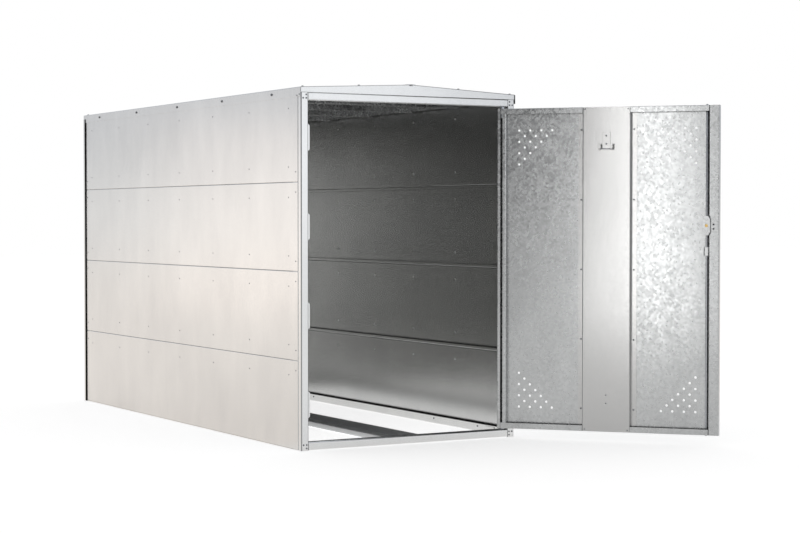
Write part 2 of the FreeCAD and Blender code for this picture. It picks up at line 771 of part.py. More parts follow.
def coat_hook():
    """A plate folded out at its foot into a fork of two upturned tines."""
    back = UNDER_LIP
    reach = back + HOOK_REACH
    low = HOOK_TOP - HOOK_HEIGHT
    shelf_top = low + HOOK_SHEET
    half = HOOK_WIDTH / 2
    outer = HOOK_SPREAD / 2
    inner = outer - HOOK_TINE
    plate = box(-half, half, back, back + HOOK_SHEET, low, HOOK_TOP)
    plate = plate.makeChamfer(HOOK_CORNER, upper_corners(plate, HOOK_TOP))
    shelf = box(-outer, outer, back, reach, low, shelf_top)
    shelf = shelf.cut(box(-inner, inner, back + HOOK_REACH / 2, reach, low, shelf_top))
    hook = plate.fuse(shelf)
    for left in (-outer, inner):
        tine = box(left, left + HOOK_TINE, reach - HOOK_SHEET, reach, low, low + HOOK_RISE)
        tine = tine.makeChamfer(HOOK_TINE_CORNER, upper_corners(tine, low + HOOK_RISE))
        hook = hook.fuse(tine)
    hook = hook.removeSplitter()
    hook.translate(Vector(LEAF_CENTRE, 0, 0))
    return hook


# Pivots


def bevelled(block, length, corner):
    """Bevels the long edges of a block on the side away from the leaf's skin."""
    upright = [e for e in block.Edges if e.BoundBox.ZLength > length - 0.1 and e.BoundBox.YMin > 0]
    return block.makeChamfer(corner, upright)


def pivot_block(low, height):
    """The block inside the leaf that holds one pivot pin, between the stile and the hinge edge."""
    left = STILE_FREE + SEAT_GAP
    right = LEAF_RIGHT - SHEET - FOLD
    block = bevelled(box(left, right, LEAF_INSIDE, ROD_Y, low, low + height), height, BLOCK_CORNER)
    return block.cut(rod(PIN_RADIUS + PIN_CLEAR, Vector(0, 0, low), Vector(0, 0, low + height)))


def rim_at(bar, level):
    """The round edge at one end of an upright bar."""
    rims = [e for e in bar.Edges if isinstance(e.Curve, Part.Circle)]
    return [e for e in rims if abs(e.BoundBox.Center.z - level) < 0.1]


def pivot_pins():
    """Two pins, each from its block through the washer into the collar."""
    ends = [(LEAF_TOP - SHEET - TOP_BLOCK_HEIGHT, HEADER_BOTTOM + PIN_ENGAGE)]
    ends.append((LEAF_BOTTOM + SHEET + BOTTOM_BLOCK_HEIGHT, SILL_FACE - PIN_ENGAGE))
    pins = []
    for start, tip in ends:
        pin = rod(PIN_RADIUS, Vector(0, 0, start), Vector(0, 0, tip))
        pins.append(pin.makeChamfer(PIN_CHAMFER, rim_at(pin, tip)))
    return group(pins)


def ring(outer, bore, low, high):
    whole = rod(outer, Vector(0, 0, low), Vector(0, 0, high))
    return whole.cut(rod(bore, Vector(0, 0, low), Vector(0, 0, high)))


def pivot_washers():
    """Spacers that ride with the leaf and stand just clear of the sill and header."""
    bore = PIN_RADIUS + PIN_CLEAR
    top = ring(WASHER_RADIUS, bore, LEAF_TOP, HEADER_BOTTOM - SEAT_GAP)
    bottom = ring(WASHER_RADIUS, bore, SILL_FACE + SEAT_GAP, LEAF_BOTTOM)
    return group([top, bottom])


def pivot_collars():
    """Bearing collars inside the sill and the header."""
    bore = PIN_RADIUS + PIN_CLEAR
    low = SILL_FACE - FRAME_SHEET - COLLAR_HEIGHT
    high = HEADER_BOTTOM + FRAME_SHEET
    collars = [ring(COLLAR_RADIUS, bore, low, low + COLLAR_HEIGHT)]
    collars.append(ring(COLLAR_RADIUS, bore, high, high + COLLAR_HEIGHT))
    both = group(collars)
    both.translate(Vector(PIVOT_X, PIVOT_Y, 0))
    return both


# Rod lock, drawn in the unlocked state


def slotted_end(side):
    """The flat end of a rod: an arm down to a plate whose slot runs on one pin of the cam."""
    y0 = ROD_Y - ROD_PLATE / 2
    near = PIN_OFFSET - CAM_PIN_RADIUS - SLOT_CLEAR
    far = CAM_PIN_CIRCLE + CAM_PIN_RADIUS + SLOT_CLEAR
    tall = CAM_PIN_RADIUS + SLOT_CLEAR
    ends = sorted((side * (near - PLATE_MARGIN), side * (far + PLATE_MARGIN)))
    slot = sorted((side * near, side * far))
    level = side * PIN_OFFSET
    reach = tall + PLATE_MARGIN
    plate = box(*ends, y0, y0 + ROD_PLATE, level - reach, level + reach)
    arm_x = sorted((side * (near - PLATE_MARGIN), side * (near - PLATE_MARGIN + ARM_WIDTH)))
    arm_z = sorted((level, -side * (ROD_END_GAP + ARM_WIDTH)))
    arm = box(*arm_x, y0, y0 + ROD_PLATE, *arm_z)
    bridge_x = sorted((arm_x[0], arm_x[1], -side * ROD_RADIUS))
    bridge_z = sorted((-side * ROD_END_GAP, -side * (ROD_END_GAP + ARM_WIDTH)))
    bridge = box(bridge_x[0], bridge_x[2], y0, y0 + ROD_PLATE, *bridge_z)
    return plate.fuse(arm).fuse(bridge).cut(box(*slot, y0, y0 + ROD_PLATE, level - tall, level + tall))


def lock_rod(side, tip):
    """A round rod with a tapered tip, from its slotted end to just past the leaf's edge."""
    start = -side * ROD_END_GAP
    bar = rod(ROD_RADIUS, Vector(0, ROD_Y, start), Vector(0, ROD_Y, tip))
    bar = bar.makeChamfer(ROD_CHAMFER, rim_at(bar, tip))
    whole = bar.fuse(slotted_end(side)).removeSplitter()
    whole.translate(Vector(ROD_X, 0, LOCK_HEIGHT))
    return whole


def upper_rod():
    return lock_rod(-1, LEAF_TOP + ROD_TOP_SHOW - LOCK_HEIGHT)


def lower_rod():
    return lock_rod(1, LEAF_BOTTOM - ROD_BOTTOM_SHOW - LOCK_HEIGHT)


def lock_cam():
    """A disc with two pins, one in each rod's slot."""
    centre = Vector(ROD_X, CAM_FRONT, LOCK_HEIGHT)
    cam = rod(CAM_RADIUS, centre, centre + Vector(0, CAM_THICK, 0))
    for side in (-1, 1):
        start = Vector(ROD_X + side * PIN_OFFSET, CAM_FRONT, LOCK_HEIGHT + side * PIN_OFFSET)
        end = Vector(start.x, ROD_Y + ROD_PLATE / 2 + CAM_PIN_PROUD, start.z)
        cam = cam.fuse(rod(CAM_PIN_RADIUS, start, end))
    return cam.removeSplitter()


def lock_spindle():
    start = Vector(ROD_X, HUB_BACK, LOCK_HEIGHT)
    return rod(SPINDLE_RADIUS, start, Vector(ROD_X, CAM_FRONT, LOCK_HEIGHT))


def lock_cover():
    """A plate in the notch of the lip, on two studs from the skin that pass beside the rods."""
    half = lock_outline(0)
    outline = half + [(-a, b) for a, b in reversed(half)]
    corners = [Vector(ROD_X + a, UNDER_LIP, LOCK_HEIGHT + b) for a, b in outline]
    cover = prism(corners, Vector(0, SHEET, 0))
    reach = ROD_RADIUS + STUD_RADIUS + 2 * ROD_SLIDE_CLEAR
    level = COVER_STRAIGHT + ROD_RADIUS + 2 * ROD_SLIDE_CLEAR
    for side in (-1, 1):
        foot = Vector(ROD_X + side * reach, LEAF_INSIDE, LOCK_HEIGHT + side * level)
        cover = cover.fuse(rod(STUD_RADIUS, foot, foot + Vector(0, UNDER_LIP - LEAF_INSIDE, 0)))
    return cover.removeSplitter()


def rod_guide():
    """A block on the skin that the lower rod slides through."""
    half = GUIDE_WIDTH / 2
    low = LOCK_HEIGHT - GUIDE_DROP - GUIDE_LENGTH / 2
    block = box(ROD_X - half, ROD_X + half, LEAF_INSIDE, UNDER_LIP - SHEET, low, low + GUIDE_LENGTH)
    block = bevelled(block, GUIDE_LENGTH, GUIDE_CORNER)
    start = Vector(ROD_X, ROD_Y, low)
    return block.cut(rod(ROD_RADIUS + ROD_SLIDE_CLEAR, start, start + Vector(0, 0, GUIDE_LENGTH)))


def escutcheon():
    """The plate behind the handle, outside the leaf."""
    half = ESCUTCHEON_WIDTH / 2
    tall = ESCUTCHEON_HEIGHT / 2
    low = LOCK_HEIGHT - tall
    plate = box(ROD_X - half, ROD_X + half, ESCUTCHEON_FRONT, LEAF_FRONT, low, LOCK_HEIGHT + tall)
    corners = [e for e in plate.Edges if e.BoundBox.YLength > ESCUTCHEON_THICK - 0.1]
    plate = plate.makeFillet(ESCUTCHEON_CORNER, corners)
    start = Vector(ROD_X, ESCUTCHEON_FRONT, LOCK_HEIGHT)
    return plate.cut(rod(SPINDLE_RADIUS + ROD_SLIDE_CLEAR, start, start + Vector(0, ESCUTCHEON_THICK, 0)))


def lock_handle():
    """A hub with a tapered lever, bored from the front for the key cylinder."""
    centre = Vector(ROD_X, HUB_FRONT, LOCK_HEIGHT)
    hub = rod(HUB_RADIUS, centre, centre + Vector(0, HUB_HEIGHT, 0))
    root = LEVER_ROOT / 2
    tip = LEVER_TIP / 2
    outline = [(0, -root), (LEVER_LENGTH, -tip), (LEVER_LENGTH, tip), (0, root)]
    corners = [Vector(ROD_X + a, HUB_FRONT, LOCK_HEIGHT + b) for a, b in outline]
    lever = prism(corners, Vector(0, LEVER_THICK, 0))
    far = ROD_X + LEVER_LENGTH - 0.1
    end = [e for e in lever.Edges if e.BoundBox.XMin > far and e.BoundBox.YLength > LEVER_THICK / 2]
    handle = hub.fuse(lever.makeFillet(LEVER_CORNER, end)).removeSplitter()
    front = [e for e in handle.Edges if e.BoundBox.YMax < HUB_FRONT + 0.1]
    handle = handle.makeChamfer(LEVER_CHAMFER, front)
    return handle.cut(rod(CYLINDER_RADIUS, centre, centre + Vector(0, PLUG_DEPTH, 0)))


def lock_cylinder():
    """The brass body in the hub, bored for its plug."""
    start = Vector(ROD_X, HUB_FRONT - CYLINDER_PROUD, LOCK_HEIGHT)
    end = Vector(ROD_X, HUB_FRONT + PLUG_DEPTH, LOCK_HEIGHT)
    return rod(CYLINDER_RADIUS, start, end).cut(rod(PLUG_RADIUS + PIN_CLEAR, start, end))


def lock_plug():
    """The part that the key turns, just clear of the bottom of the hub's bore."""
    start = Vector(ROD_X, HUB_FRONT - CYLINDER_PROUD, LOCK_HEIGHT)
    end = Vector(ROD_X, HUB_FRONT + PLUG_DEPTH - SEAT_GAP, LOCK_HEIGHT)
    half = KEY_SLOT / 2
    tall = KEY_HEIGHT / 2
    slot = box(ROD_X - half, ROD_X + half, start.y, end.y, LOCK_HEIGHT - tall, LOCK_HEIGHT + tall)
    return rod(PLUG_RADIUS, start, end).cut(slot)


def swung(shape):
    """Puts a piece of the closed door on its pivot and opens it."""
    shape = shape.copy()
    shape.rotate(Vector(0, 0, 0), Vector(0, 0, 1), DOOR_OPEN)
    shape.translate(Vector(PIVOT_X, PIVOT_Y, 0))
    return shape


def cabinet():
    """Every fixed piece by name."""
    side = Vector(1, 0, 0)
    end = Vector(0, 1, 0)
    pieces = {
        "front_post_left": front_post(),
        "front_sill": front_sill(),
        "front_header": front_header(),
        "door_stops": door_stops(),
        "corner_rivets": corner_rivets(),
        "rear_post_left": rear_post(),
        "base_rail_left": side_rail(),
        "base_rail_rear": rear_rail(),
        "wheel_channel": wheel_channel(),
        "anchor_brackets": anchor_brackets(),
        "roof_sheet_left": roof_sheet(),
        "ridge_cap": ridge_cap(),
        "gable_front": gable(),
        "eave_rail_left": eave_rail(),
        "roof_screws": roof_screws(),
        "pivot_collars": pivot_collars(),
    }
    for row in range(PANEL_ROWS):
        pieces[f"side_panel_left_{row + 1}"] = side_panel(row)
        pieces[f"rear_panel_{row + 1}"] = rear_panel(row)
    for name in [n for n in pieces if "_left" in n]:
        pieces[name.replace("_left", "_right")] = mirrored(pieces[name], side)
    pieces["gable_rear"] = mirrored(pieces["gable_front"], end)
    for number in range(BOW_COUNT):
        pieces[f"roof_bow_{number + 1}"] = roof_bow(number)
    return pieces


def door():
    """Every piece that swings with the door, still closed."""
    return {
        "door_leaf": door_leaf(),
        "hinge_stile": hinge_stile(),
        "leaf_stiffener": leaf_stiffener(),
        "leaf_rivets": leaf_rivets(),
        "coat_hook": coat_hook(),
        "top_pivot_block": pivot_block(LEAF_TOP - SHEET - TOP_BLOCK_HEIGHT, TOP_BLOCK_HEIGHT),
        "bottom_pivot_block": pivot_block(LEAF_BOTTOM + SHEET, BOTTOM_BLOCK_HEIGHT),
        "pivot_pins": pivot_pins(),
        "pivot_washers": pivot_washers(),
        "upper_rod": upper_rod(),
        "lower_rod": lower_rod(),
        "rod_guide": rod_guide(),
        "lock_cam": lock_cam(),
        "lock_spindle": lock_spindle(),
        "lock_cover": lock_cover(),
        "escutcheon": escutcheon(),
        "lock_handle": lock_handle(),
        "lock_cylinder": lock_cylinder(),
        "lock_plug": lock_plug(),
    }


def build():
    os.makedirs("parts", exist_ok=True)
    pieces = cabinet()
    pieces.update({name: swung(shape) for name, shape in door().items()})
    for name, shape in pieces.items():
        shape.exportStep(f"parts/{name}.step")
    return pieces


PIECES = build()
print(len(PIECES), "nodes")
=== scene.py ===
import json
import math

import bpy
import numpy as np
from bpy.props import FloatProperty, FloatVectorProperty, IntProperty, PointerProperty, StringProperty
from mathutils import Euler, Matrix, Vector

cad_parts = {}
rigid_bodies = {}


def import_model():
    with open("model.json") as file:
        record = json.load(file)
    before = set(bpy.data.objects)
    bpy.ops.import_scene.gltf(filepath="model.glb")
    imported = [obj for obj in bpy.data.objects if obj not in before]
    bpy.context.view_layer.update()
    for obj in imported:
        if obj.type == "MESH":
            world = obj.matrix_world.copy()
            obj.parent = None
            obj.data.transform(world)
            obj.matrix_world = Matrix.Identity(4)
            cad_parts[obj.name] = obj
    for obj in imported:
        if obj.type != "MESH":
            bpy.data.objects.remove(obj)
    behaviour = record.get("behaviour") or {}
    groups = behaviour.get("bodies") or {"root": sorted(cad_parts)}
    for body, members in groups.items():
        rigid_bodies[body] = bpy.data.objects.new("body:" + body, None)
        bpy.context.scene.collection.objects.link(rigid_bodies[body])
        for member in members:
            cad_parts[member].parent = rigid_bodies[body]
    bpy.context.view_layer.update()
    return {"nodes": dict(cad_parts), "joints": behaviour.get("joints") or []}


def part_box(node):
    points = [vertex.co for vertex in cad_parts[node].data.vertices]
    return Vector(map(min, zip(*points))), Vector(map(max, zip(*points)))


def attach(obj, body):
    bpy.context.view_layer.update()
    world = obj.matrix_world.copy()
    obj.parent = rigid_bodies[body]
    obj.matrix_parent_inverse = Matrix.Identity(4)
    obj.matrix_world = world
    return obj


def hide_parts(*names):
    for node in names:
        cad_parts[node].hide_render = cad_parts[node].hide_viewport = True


bl_info = {
    "name": "Bicycle locker",
    "version": (1, 0, 0),
    "blender": (4, 5, 0),
    "location": "View3D > Sidebar > Locker",
    "description": "Dresses a packed bicycle locker in folded galvanised sheet",
    "category": "Object",
}

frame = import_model()
NODES = frame["nodes"]
MM = 0.001

# Where the leaf hangs: its own axes are turned about the upright pivot by the angle it stands open.
HINGE = next(j for j in frame["joints"] if j["name"] == "door_hinge")
PIVOT = np.array([HINGE["pos_m"][0], HINGE["pos_m"][1], 0.0])
OPEN_ANGLE = math.radians(-HINGE["range_deg"][0])
TURN = np.array([
    [math.cos(OPEN_ANGLE), -math.sin(OPEN_ANGLE), 0.0],
    [math.sin(OPEN_ANGLE), math.cos(OPEN_ANGLE), 0.0],
    [0.0, 0.0, 1.0],
])


def leaf_to_row(points):
    """Points in the closed leaf's own axes, put where the open leaf is: turned, then moved to the pivot."""
    return points @ TURN.T + PIVOT


def node_points(node):
    """A CAD node's vertices as an array."""
    mesh = NODES[node].data
    points = np.zeros(len(mesh.vertices) * 3)
    mesh.vertices.foreach_get("co", points)
    return points.reshape(-1, 3)


def leaf_box(node):
    """Lowest and highest corner of a node in the leaf's own axes."""
    points = (node_points(node) - PIVOT) @ TURN
    return points.min(0), points.max(0)


def row_box(node):
    """Lowest and highest corner of a node in the row frame."""
    low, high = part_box(node)
    return np.array(low), np.array(high)


# Sizes read from the frame
POST_LOW, POST_HIGH = row_box("front_post_left")
SILL_TOP = row_box("front_sill")[1][2]
HEADER_FOOT = row_box("front_header")[0][2]
PANEL_LOW, PANEL_HIGH = row_box("side_panel_left_1")
REAR_LOW, REAR_HIGH = row_box("rear_panel_1")
ROOF_LOW, ROOF_HIGH = row_box("roof_sheet_left")
CHANNEL_LOW, CHANNEL_HIGH = row_box("wheel_channel")
SCREW_OUT = row_box("roof_screws")[0][0]
LEAF_LOW, LEAF_HIGH = leaf_box("door_leaf")
STILE_LOW, STILE_HIGH = leaf_box("hinge_stile")
HAT_LOW, HAT_HIGH = leaf_box("leaf_stiffener")
COVER_FACE = leaf_box("lock_cover")[1][1]
HOOK_LOW, HOOK_HIGH = leaf_box("coat_hook")
PLATE_LOW, PLATE_HIGH = leaf_box("escutcheon")
LEVER_LOW, LEVER_HIGH = leaf_box("lock_handle")
CYLINDER_LOW, CYLINDER_HIGH = leaf_box("lock_cylinder")
PLUG_LOW, PLUG_HIGH = leaf_box("lock_plug")
SPINDLE_LOW, SPINDLE_HIGH = leaf_box("lock_spindle")

HALF_WIDTH = -POST_LOW[0]
FRONT = POST_LOW[1]
BACK = -FRONT
HEAD_TOP = POST_HIGH[2]
PANEL_ROWS = 4
PANEL_BASE = PANEL_LOW[2]
PANEL_HEIGHT = PANEL_HIGH[2] - PANEL_LOW[2]
SHEET = -HALF_WIDTH - PANEL_LOW[0]
FRAME_SHEET = PANEL_BASE
FOLD = 1.5 * MM
ROD_X = (SPINDLE_LOW[0] + SPINDLE_HIGH[0]) / 2
LOCK_Z = (SPINDLE_LOW[2] + SPINDLE_HIGH[2]) / 2
LEAF_CENTRE = (LEAF_LOW[0] + LEAF_HIGH[0]) / 2
DRIP_HEIGHT = 32.5 * MM
ROOF_SLOPE = math.atan2(ROOF_HIGH[2] - ROOF_LOW[2] - DRIP_HEIGHT, -ROOF_LOW[0])

# What counts as nothing: two lengths, what is added so that nothing is divided by zero, and an angle
HAIR = 0.01 * MM
TOUCH = 0.05 * MM
NOTHING = 1e-12
STRAIGHT = 1e-4
# How deep a small head is sunk into its sheet
SUNK = 0.1 * MM


# Placing a flat profile in space: its two axes and the direction it is carried along


def on_plan(a, b, run):
    return np.stack(np.broadcast_arrays(a, b, run), -1)


def across(a, b, run):
    return np.stack(np.broadcast_arrays(a, run, b), -1)


def lengthways(a, b, run):
    return np.stack(np.broadcast_arrays(run, a, b), -1)


# Shells: a shell is its points and a list of face arrays, each array holding faces of one size


def volume(points, groups):
    """Signed volume of a closed shell: the sum over its triangles of a . (b x c) / 6."""
    total = 0.0
    for faces in groups:
        for i in range(1, faces.shape[1] - 1):
            a, b, c = points[faces[:, 0]], points[faces[:, i]], points[faces[:, i + 1]]
            total += np.einsum("ij,ij->", a, np.cross(b, c)) / 6
    return total


def outward(points, groups):
    """The shell with every face turned round if its volume comes out negative."""
    if volume(points - points.mean(0), groups) < 0:
        groups = [faces[:, ::-1] for faces in groups]
    return points, groups


def joined(*shells):
    """Several shells as one, their face indices moved on."""
    points, groups, count = [], [], 0
    for own_points, own_groups in shells:
        points.append(own_points)
        groups += [faces + count for faces in own_groups]
        count += len(own_points)
    return np.concatenate(points), groups


def moved(shell, change):
    """The shell with its points passed through a function, its faces set outward again."""
    points, groups = shell
    return outward(change(points), groups)


def stamped(shell, places, frames):
    """Copies of a shell: copy k is points @ frames[k] + places[k], all worked out as one array."""
    points, groups = shell
    places = np.asarray(places, float)
    frames = np.broadcast_to(frames, (len(places), 3, 3))
    copies = np.einsum("pi,kij->kpj", points, frames) + places[:, None]
    shifts = np.arange(len(places)) * len(points)
    grown = [(faces[None] + shifts[:, None, None]).reshape(-1, faces.shape[1]) for faces in groups]
    return copies.reshape(-1, 3), grown


def facing(normal):
    """Rows of a frame whose third axis looks along the normal and whose second points up if it can."""
    normal = np.asarray(normal, float) / np.linalg.norm(normal)
    hint = np.array([0.0, 0.0, 1.0]) if abs(normal[2]) < 0.9 else np.array([0.0, 1.0, 0.0])
    side = np.cross(hint, normal)
    side /= np.linalg.norm(side)
    return np.stack([side, np.cross(normal, side), normal])


def bend_line(corners, thickness, radii=FOLD, steps=5):
    """Both faces of a folded sheet in its own plane.

    At each corner two arcs share one centre: a point is centre + r * (cos t, sin t), with r the inner
    radius on the hollow side and the inner radius plus the thickness on the other. The thickness lies
    to the left of the line. Corners in line add one point and no arc.
    """
    corners = np.asarray(corners, float)
    radii = np.broadcast_to(radii, len(corners))
    ways = np.diff(corners, axis=0)
    ways /= np.linalg.norm(ways, axis=1)[:, None]
    lefts = ways @ np.array([[0.0, 1.0], [-1.0, 0.0]])
    near = [corners[:1]]
    far = [corners[:1] + lefts[:1] * thickness]
    for i in range(1, len(corners) - 1):
        cross = ways[i - 1][0] * ways[i][1] - ways[i - 1][1] * ways[i][0]
        angle = math.acos(max(-1.0, min(1.0, float(ways[i - 1] @ ways[i]))))
        if angle < STRAIGHT:
            near.append(corners[i:i + 1])
            far.append(corners[i:i + 1] + lefts[i:i + 1] * thickness)
            continue
        side = 1.0 if cross > 0 else -1.0
        face = radii[i] + thickness if cross > 0 else radii[i]
        start = corners[i] - ways[i - 1] * face * math.tan(angle / 2)
        centre = start + lefts[i - 1] * side * face
        turn = np.linspace(0.0, angle, steps + 1)[:, None]
        spokes = -side * lefts[i - 1] * np.cos(turn) + ways[i - 1] * np.sin(turn)
        near.append(centre + spokes * face)
        far.append(centre + spokes * (face - side * thickness))
    near.append(corners[-1:])
    far.append(corners[-1:] + lefts[-1:] * thickness)
    return guarded(np.concatenate(near), np.concatenate(far))


GUARD = 0.8 * MM
SLIGHT_TURN = math.radians(2)
SHARP_TURN = math.radians(12)


def turning(line, least):
    """Whether a line turns at each of its points by more than the least angle."""
    ways = np.diff(line, axis=0)
    ways /= np.linalg.norm(ways, axis=1)[:, None] + NOTHING
    turn = np.arccos(np.clip(np.einsum("ij,ij->i", ways[1:], ways[:-1]), -1.0, 1.0))
    return np.pad(turn > least, 1)


def guarded(near, far):
    """Both faces with a point close to each end of a bend, so that the flats beside it shade flat."""
    turned = turning(near, SLIGHT_TURN)
    shares = GUARD / (np.linalg.norm(np.diff(near, axis=0), axis=1) + NOTHING)
    rows = [(near[0], far[0])]
    for k, share in enumerate(shares):
        stops = [share] * bool(turned[k]) + [1 - share] * bool(turned[k + 1]) if share < 0.25 else []
        for stop in [*stops, 1.0]:
            rows.append((near[k] + (near[k + 1] - near[k]) * stop, far[k] + (far[k + 1] - far[k]) * stop))
    return np.array([row[0] for row in rows]), np.array([row[1] for row in rows])


def bent(line):
    """1 where a folded line turns and 0 where it runs straight."""
    return turning(line, SHARP_TURN).astype(float)


HOLE_SIDES = 16


def sheet_shell(near, far, keep=None, holed=None, hole_share=0.2):
    """A sheet from a grid of two parameters: near[i, j] and far[i, j] are the same place on its two faces.

    Cells that keep drops are left out, and a wall stands on every edge between a kept cell and none.
    A holed cell gets a round hole of radius hole_share of the cell about its middle, with its own wall.
    """
    rows, columns = near.shape[:2]
    if keep is None:
        keep = np.ones((rows - 1, columns - 1), bool)
    if holed is None:
        holed = np.zeros_like(keep)
    index = np.arange(rows * columns).reshape(rows, columns)
    behind = rows * columns
    cells = np.stack([index[:-1, :-1], index[1:, :-1], index[1:, 1:], index[:-1, 1:]], -1)
    plain = cells[keep & ~holed]
    groups = [plain, plain[:, ::-1] + behind]
    ring = np.pad(keep, 1)
    sides = (
        (ring[1:-1, 1:], ring[1:-1, :-1], index[:-1, :], index[1:, :]),
        (ring[:-1, 1:-1], ring[1:, 1:-1], index[:, :-1], index[:, 1:]),
    )
    for after, before, one, two in sides:
        for edge in ((after & ~before, two, one), (before & ~after, one, two)):
            a, b = edge[1][edge[0]], edge[2][edge[0]]
            groups.append(np.stack([a, b, b + behind, a + behind], -1))
    points = np.concatenate([near.reshape(-1, 3), far.reshape(-1, 3)])
    if holed.any():
        turn = np.arange(HOLE_SIDES) * 2 * math.pi / HOLE_SIDES
        u = 0.5 + hole_share * np.cos(turn)[:, None]
        v = 0.5 + hole_share * np.sin(turn)[:, None]
        weights = np.concatenate([(1 - u) * (1 - v), u * (1 - v), u * v, (1 - u) * v], 1)
        corner = cells[holed]
        count = len(corner)
        start = len(points)
        rims = [np.einsum("sk,ckx->csx", weights, points[corner + shift]) for shift in (0, behind)]
        points = np.concatenate([points, rims[0].reshape(-1, 3), rims[1].reshape(-1, 3)])
        rim = start + np.arange(count * HOLE_SIDES).reshape(count, HOLE_SIDES)
        deep = rim + count * HOLE_SIDES
        quarter = HOLE_SIDES // 4
        for side in range(4):
            first = side * quarter - quarter // 2
            arc = (np.arange(quarter, -1, -1) + first) % HOLE_SIDES
            outer = corner[:, [side, (side + 1) % 4]]
            # The cell's sides start with the low one, whose arc is centred a quarter turn before zero.
            near_arc = rim[:, (arc - quarter) % HOLE_SIDES]
            far_arc = deep[:, (arc - quarter) % HOLE_SIDES]
            groups.append(np.concatenate([outer, near_arc], 1))
            groups.append(np.concatenate([outer + behind, far_arc], 1)[:, ::-1])
        following = np.roll(np.arange(HOLE_SIDES), -1)
        wall = np.stack([rim, rim[:, following], deep[:, following], deep], -1)
        groups.append(wall.reshape(-1, 4))
    return outward(points, [faces for faces in groups if len(faces)])


def ring_shell(rings, hollow=False):
    """A skin over a stack of rings, rings[i, j] being point j of ring i.

    A solid form closes at its first and last ring with a flat face. A hollow one closes its stack on itself.
    """
    index = np.arange(rings.shape[0] * rings.shape[1]).reshape(rings.shape[:2])
    upper = np.roll(index, -1, 0) if hollow else index[1:]
    lower = index if hollow else index[:-1]
    quads = np.stack([lower, np.roll(lower, -1, 1), np.roll(upper, -1, 1), upper], -1).reshape(-1, 4)
    groups = [quads] if hollow else [quads, index[:1, ::-1], index[-1:]]
    return outward(rings.reshape(-1, 3), groups)


def turned_shell(profile, sides, hollow=False):
    """A turned form about Z: profile holds (radius, height) pairs, and a point is (r cos t, r sin t, h)."""
    profile = np.asarray(profile, float)
    turn = np.arange(sides) * 2 * math.pi / sides
    radius, height = profile[:, :1], profile[:, 1:]
    points = np.stack(np.broadcast_arrays(radius * np.cos(turn), radius * np.sin(turn), height), -1)
    return ring_shell(points, hollow)


def round_corners(corners, radius, steps):
    """A closed outline with its corners rounded: each is an arc about a centre set in from both sides."""
    corners = np.asarray(corners, float)
    closed = np.concatenate([corners[-1:], corners, corners[:1]])
    near, _ = bend_line(closed, 0.0, radius, steps)
    return near[1:-1]


def plate_shell(outline, thickness, edge, steps):
    """A flat plate in its own plane, 0 to thickness high, with both rims rounded.

    The rim is a quarter circle: at angle t the outline is drawn in by edge * (1 - cos t) along its own
    normals and lies edge * (1 - sin t) below the face.
    """
    outline = np.asarray(outline, float)
    ways = np.roll(outline, -1, 0) - outline
    ways /= np.linalg.norm(ways, axis=1)[:, None]
    normals = (ways + np.roll(ways, 1, 0)) @ np.array([[0.0, -1.0], [1.0, 0.0]])
    normals /= np.linalg.norm(normals, axis=1)[:, None]
    if np.einsum("ij,ij->", outline - outline.mean(0), normals) < 0:
        normals = -normals
    turn = np.linspace(math.pi / 2, 0.0, steps + 1)
    inset = np.concatenate([edge * (1 - np.cos(turn)), edge * (1 - np.cos(turn[::-1]))])
    level = np.concatenate([edge * (1 - np.sin(turn)), thickness - edge * (1 - np.sin(turn[::-1]))])
    rings = outline[None] - normals[None] * inset[:, None, None]
    levels = np.broadcast_to(level[:, None, None], rings.shape[:2] + (1,))
    return ring_shell(np.concatenate([rings, levels], -1))


def spaced(start, end, step):
    """Even stations from start to end, no further apart than the step."""
    return np.linspace(start, end, max(1, math.ceil(abs(end - start) / step)) + 1)


def stations(start, end, step, *marks):
    """Stations that hold every mark, with the stretches between them filled in evenly."""
    stops = sorted({start, end, *[m for m in marks if start < m < end]})
    parts = [spaced(a, b, step)[:-1] for a, b in zip(stops, stops[1:])]
    return np.concatenate(parts + [np.array([end])])


def buckle(along, up, seed):
    """How a panel's skin bows between its folds: a product of sines, from 0 at its edges to 1.

    along and up run from 0 to 1, and the seed shifts slow waves so that no two panels bow alike.
    """
    waves = 0.25 * np.sin(7.3 * along + 2.1 * seed) + 0.2 * np.sin(17.9 * along - 1.7 * seed + 2.6 * up)
    return np.sin(math.pi * up) ** 1.5 * (0.55 + waves) * np.sin(math.pi * along) ** 0.5


CREASE = math.radians(28)


def add_piece(name, shell, body, key, replaces=(), wear=None):
    """Puts a shell in the scene as one piece of that finish, smooth but for edges sharper than the crease.

    The last argument says per point, from 0 to 1, how far the finish is painted dark toward the bend colour:
    painted shade in the folds, on cut ends and on inner faces.
    """
    points, groups = shell
    mesh = bpy.data.meshes.new(name)
    mesh.from_pydata(points.tolist(), [], [face for faces in groups for face in faces.tolist()])
    if wear is not None:
        painted_shade_share = mesh.attributes.new("wear", "FLOAT", "POINT")
        painted_shade_share.data.foreach_set("value", np.pad(wear, (0, len(points) - len(wear))).astype(np.float32))
    mesh.shade_smooth()
    mesh.set_sharp_from_angle(angle=CREASE)
    mesh.materials.append(finish(key))
    piece = bpy.data.objects.new(name, mesh)
    bpy.context.scene.collection.objects.link(piece)
    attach(piece, body)
    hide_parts(*replaces)
    return piece


def add_pair(name, node, left, key, wear=None):
    """A left piece of folded sheet and its mirror image on the right, each for its own node."""
    for side, shell in (("left", left), ("right", moved(left, mirror_x))):
        add_piece(f"{side}_{name}", shell, "cabinet", key, [f"{node}_{side}"], wear)


def add_to_leaf(name, shell, key, replaces=(), body="door", wear=None):
    """A piece drawn in the closed leaf's own axes, put where the open leaf is."""
    return add_piece(name, moved(shell, leaf_to_row), body, key, replaces, wear)


# Materials


def linear(code):
    """An sRGB hex colour as linear RGBA."""
    parts = [int(code[i:i + 2], 16) / 255 for i in (1, 3, 5)]
    return [c / 12.92 if c <= 0.04045 else ((c + 0.055) / 1.055) ** 2.4 for c in parts] + [1.0]


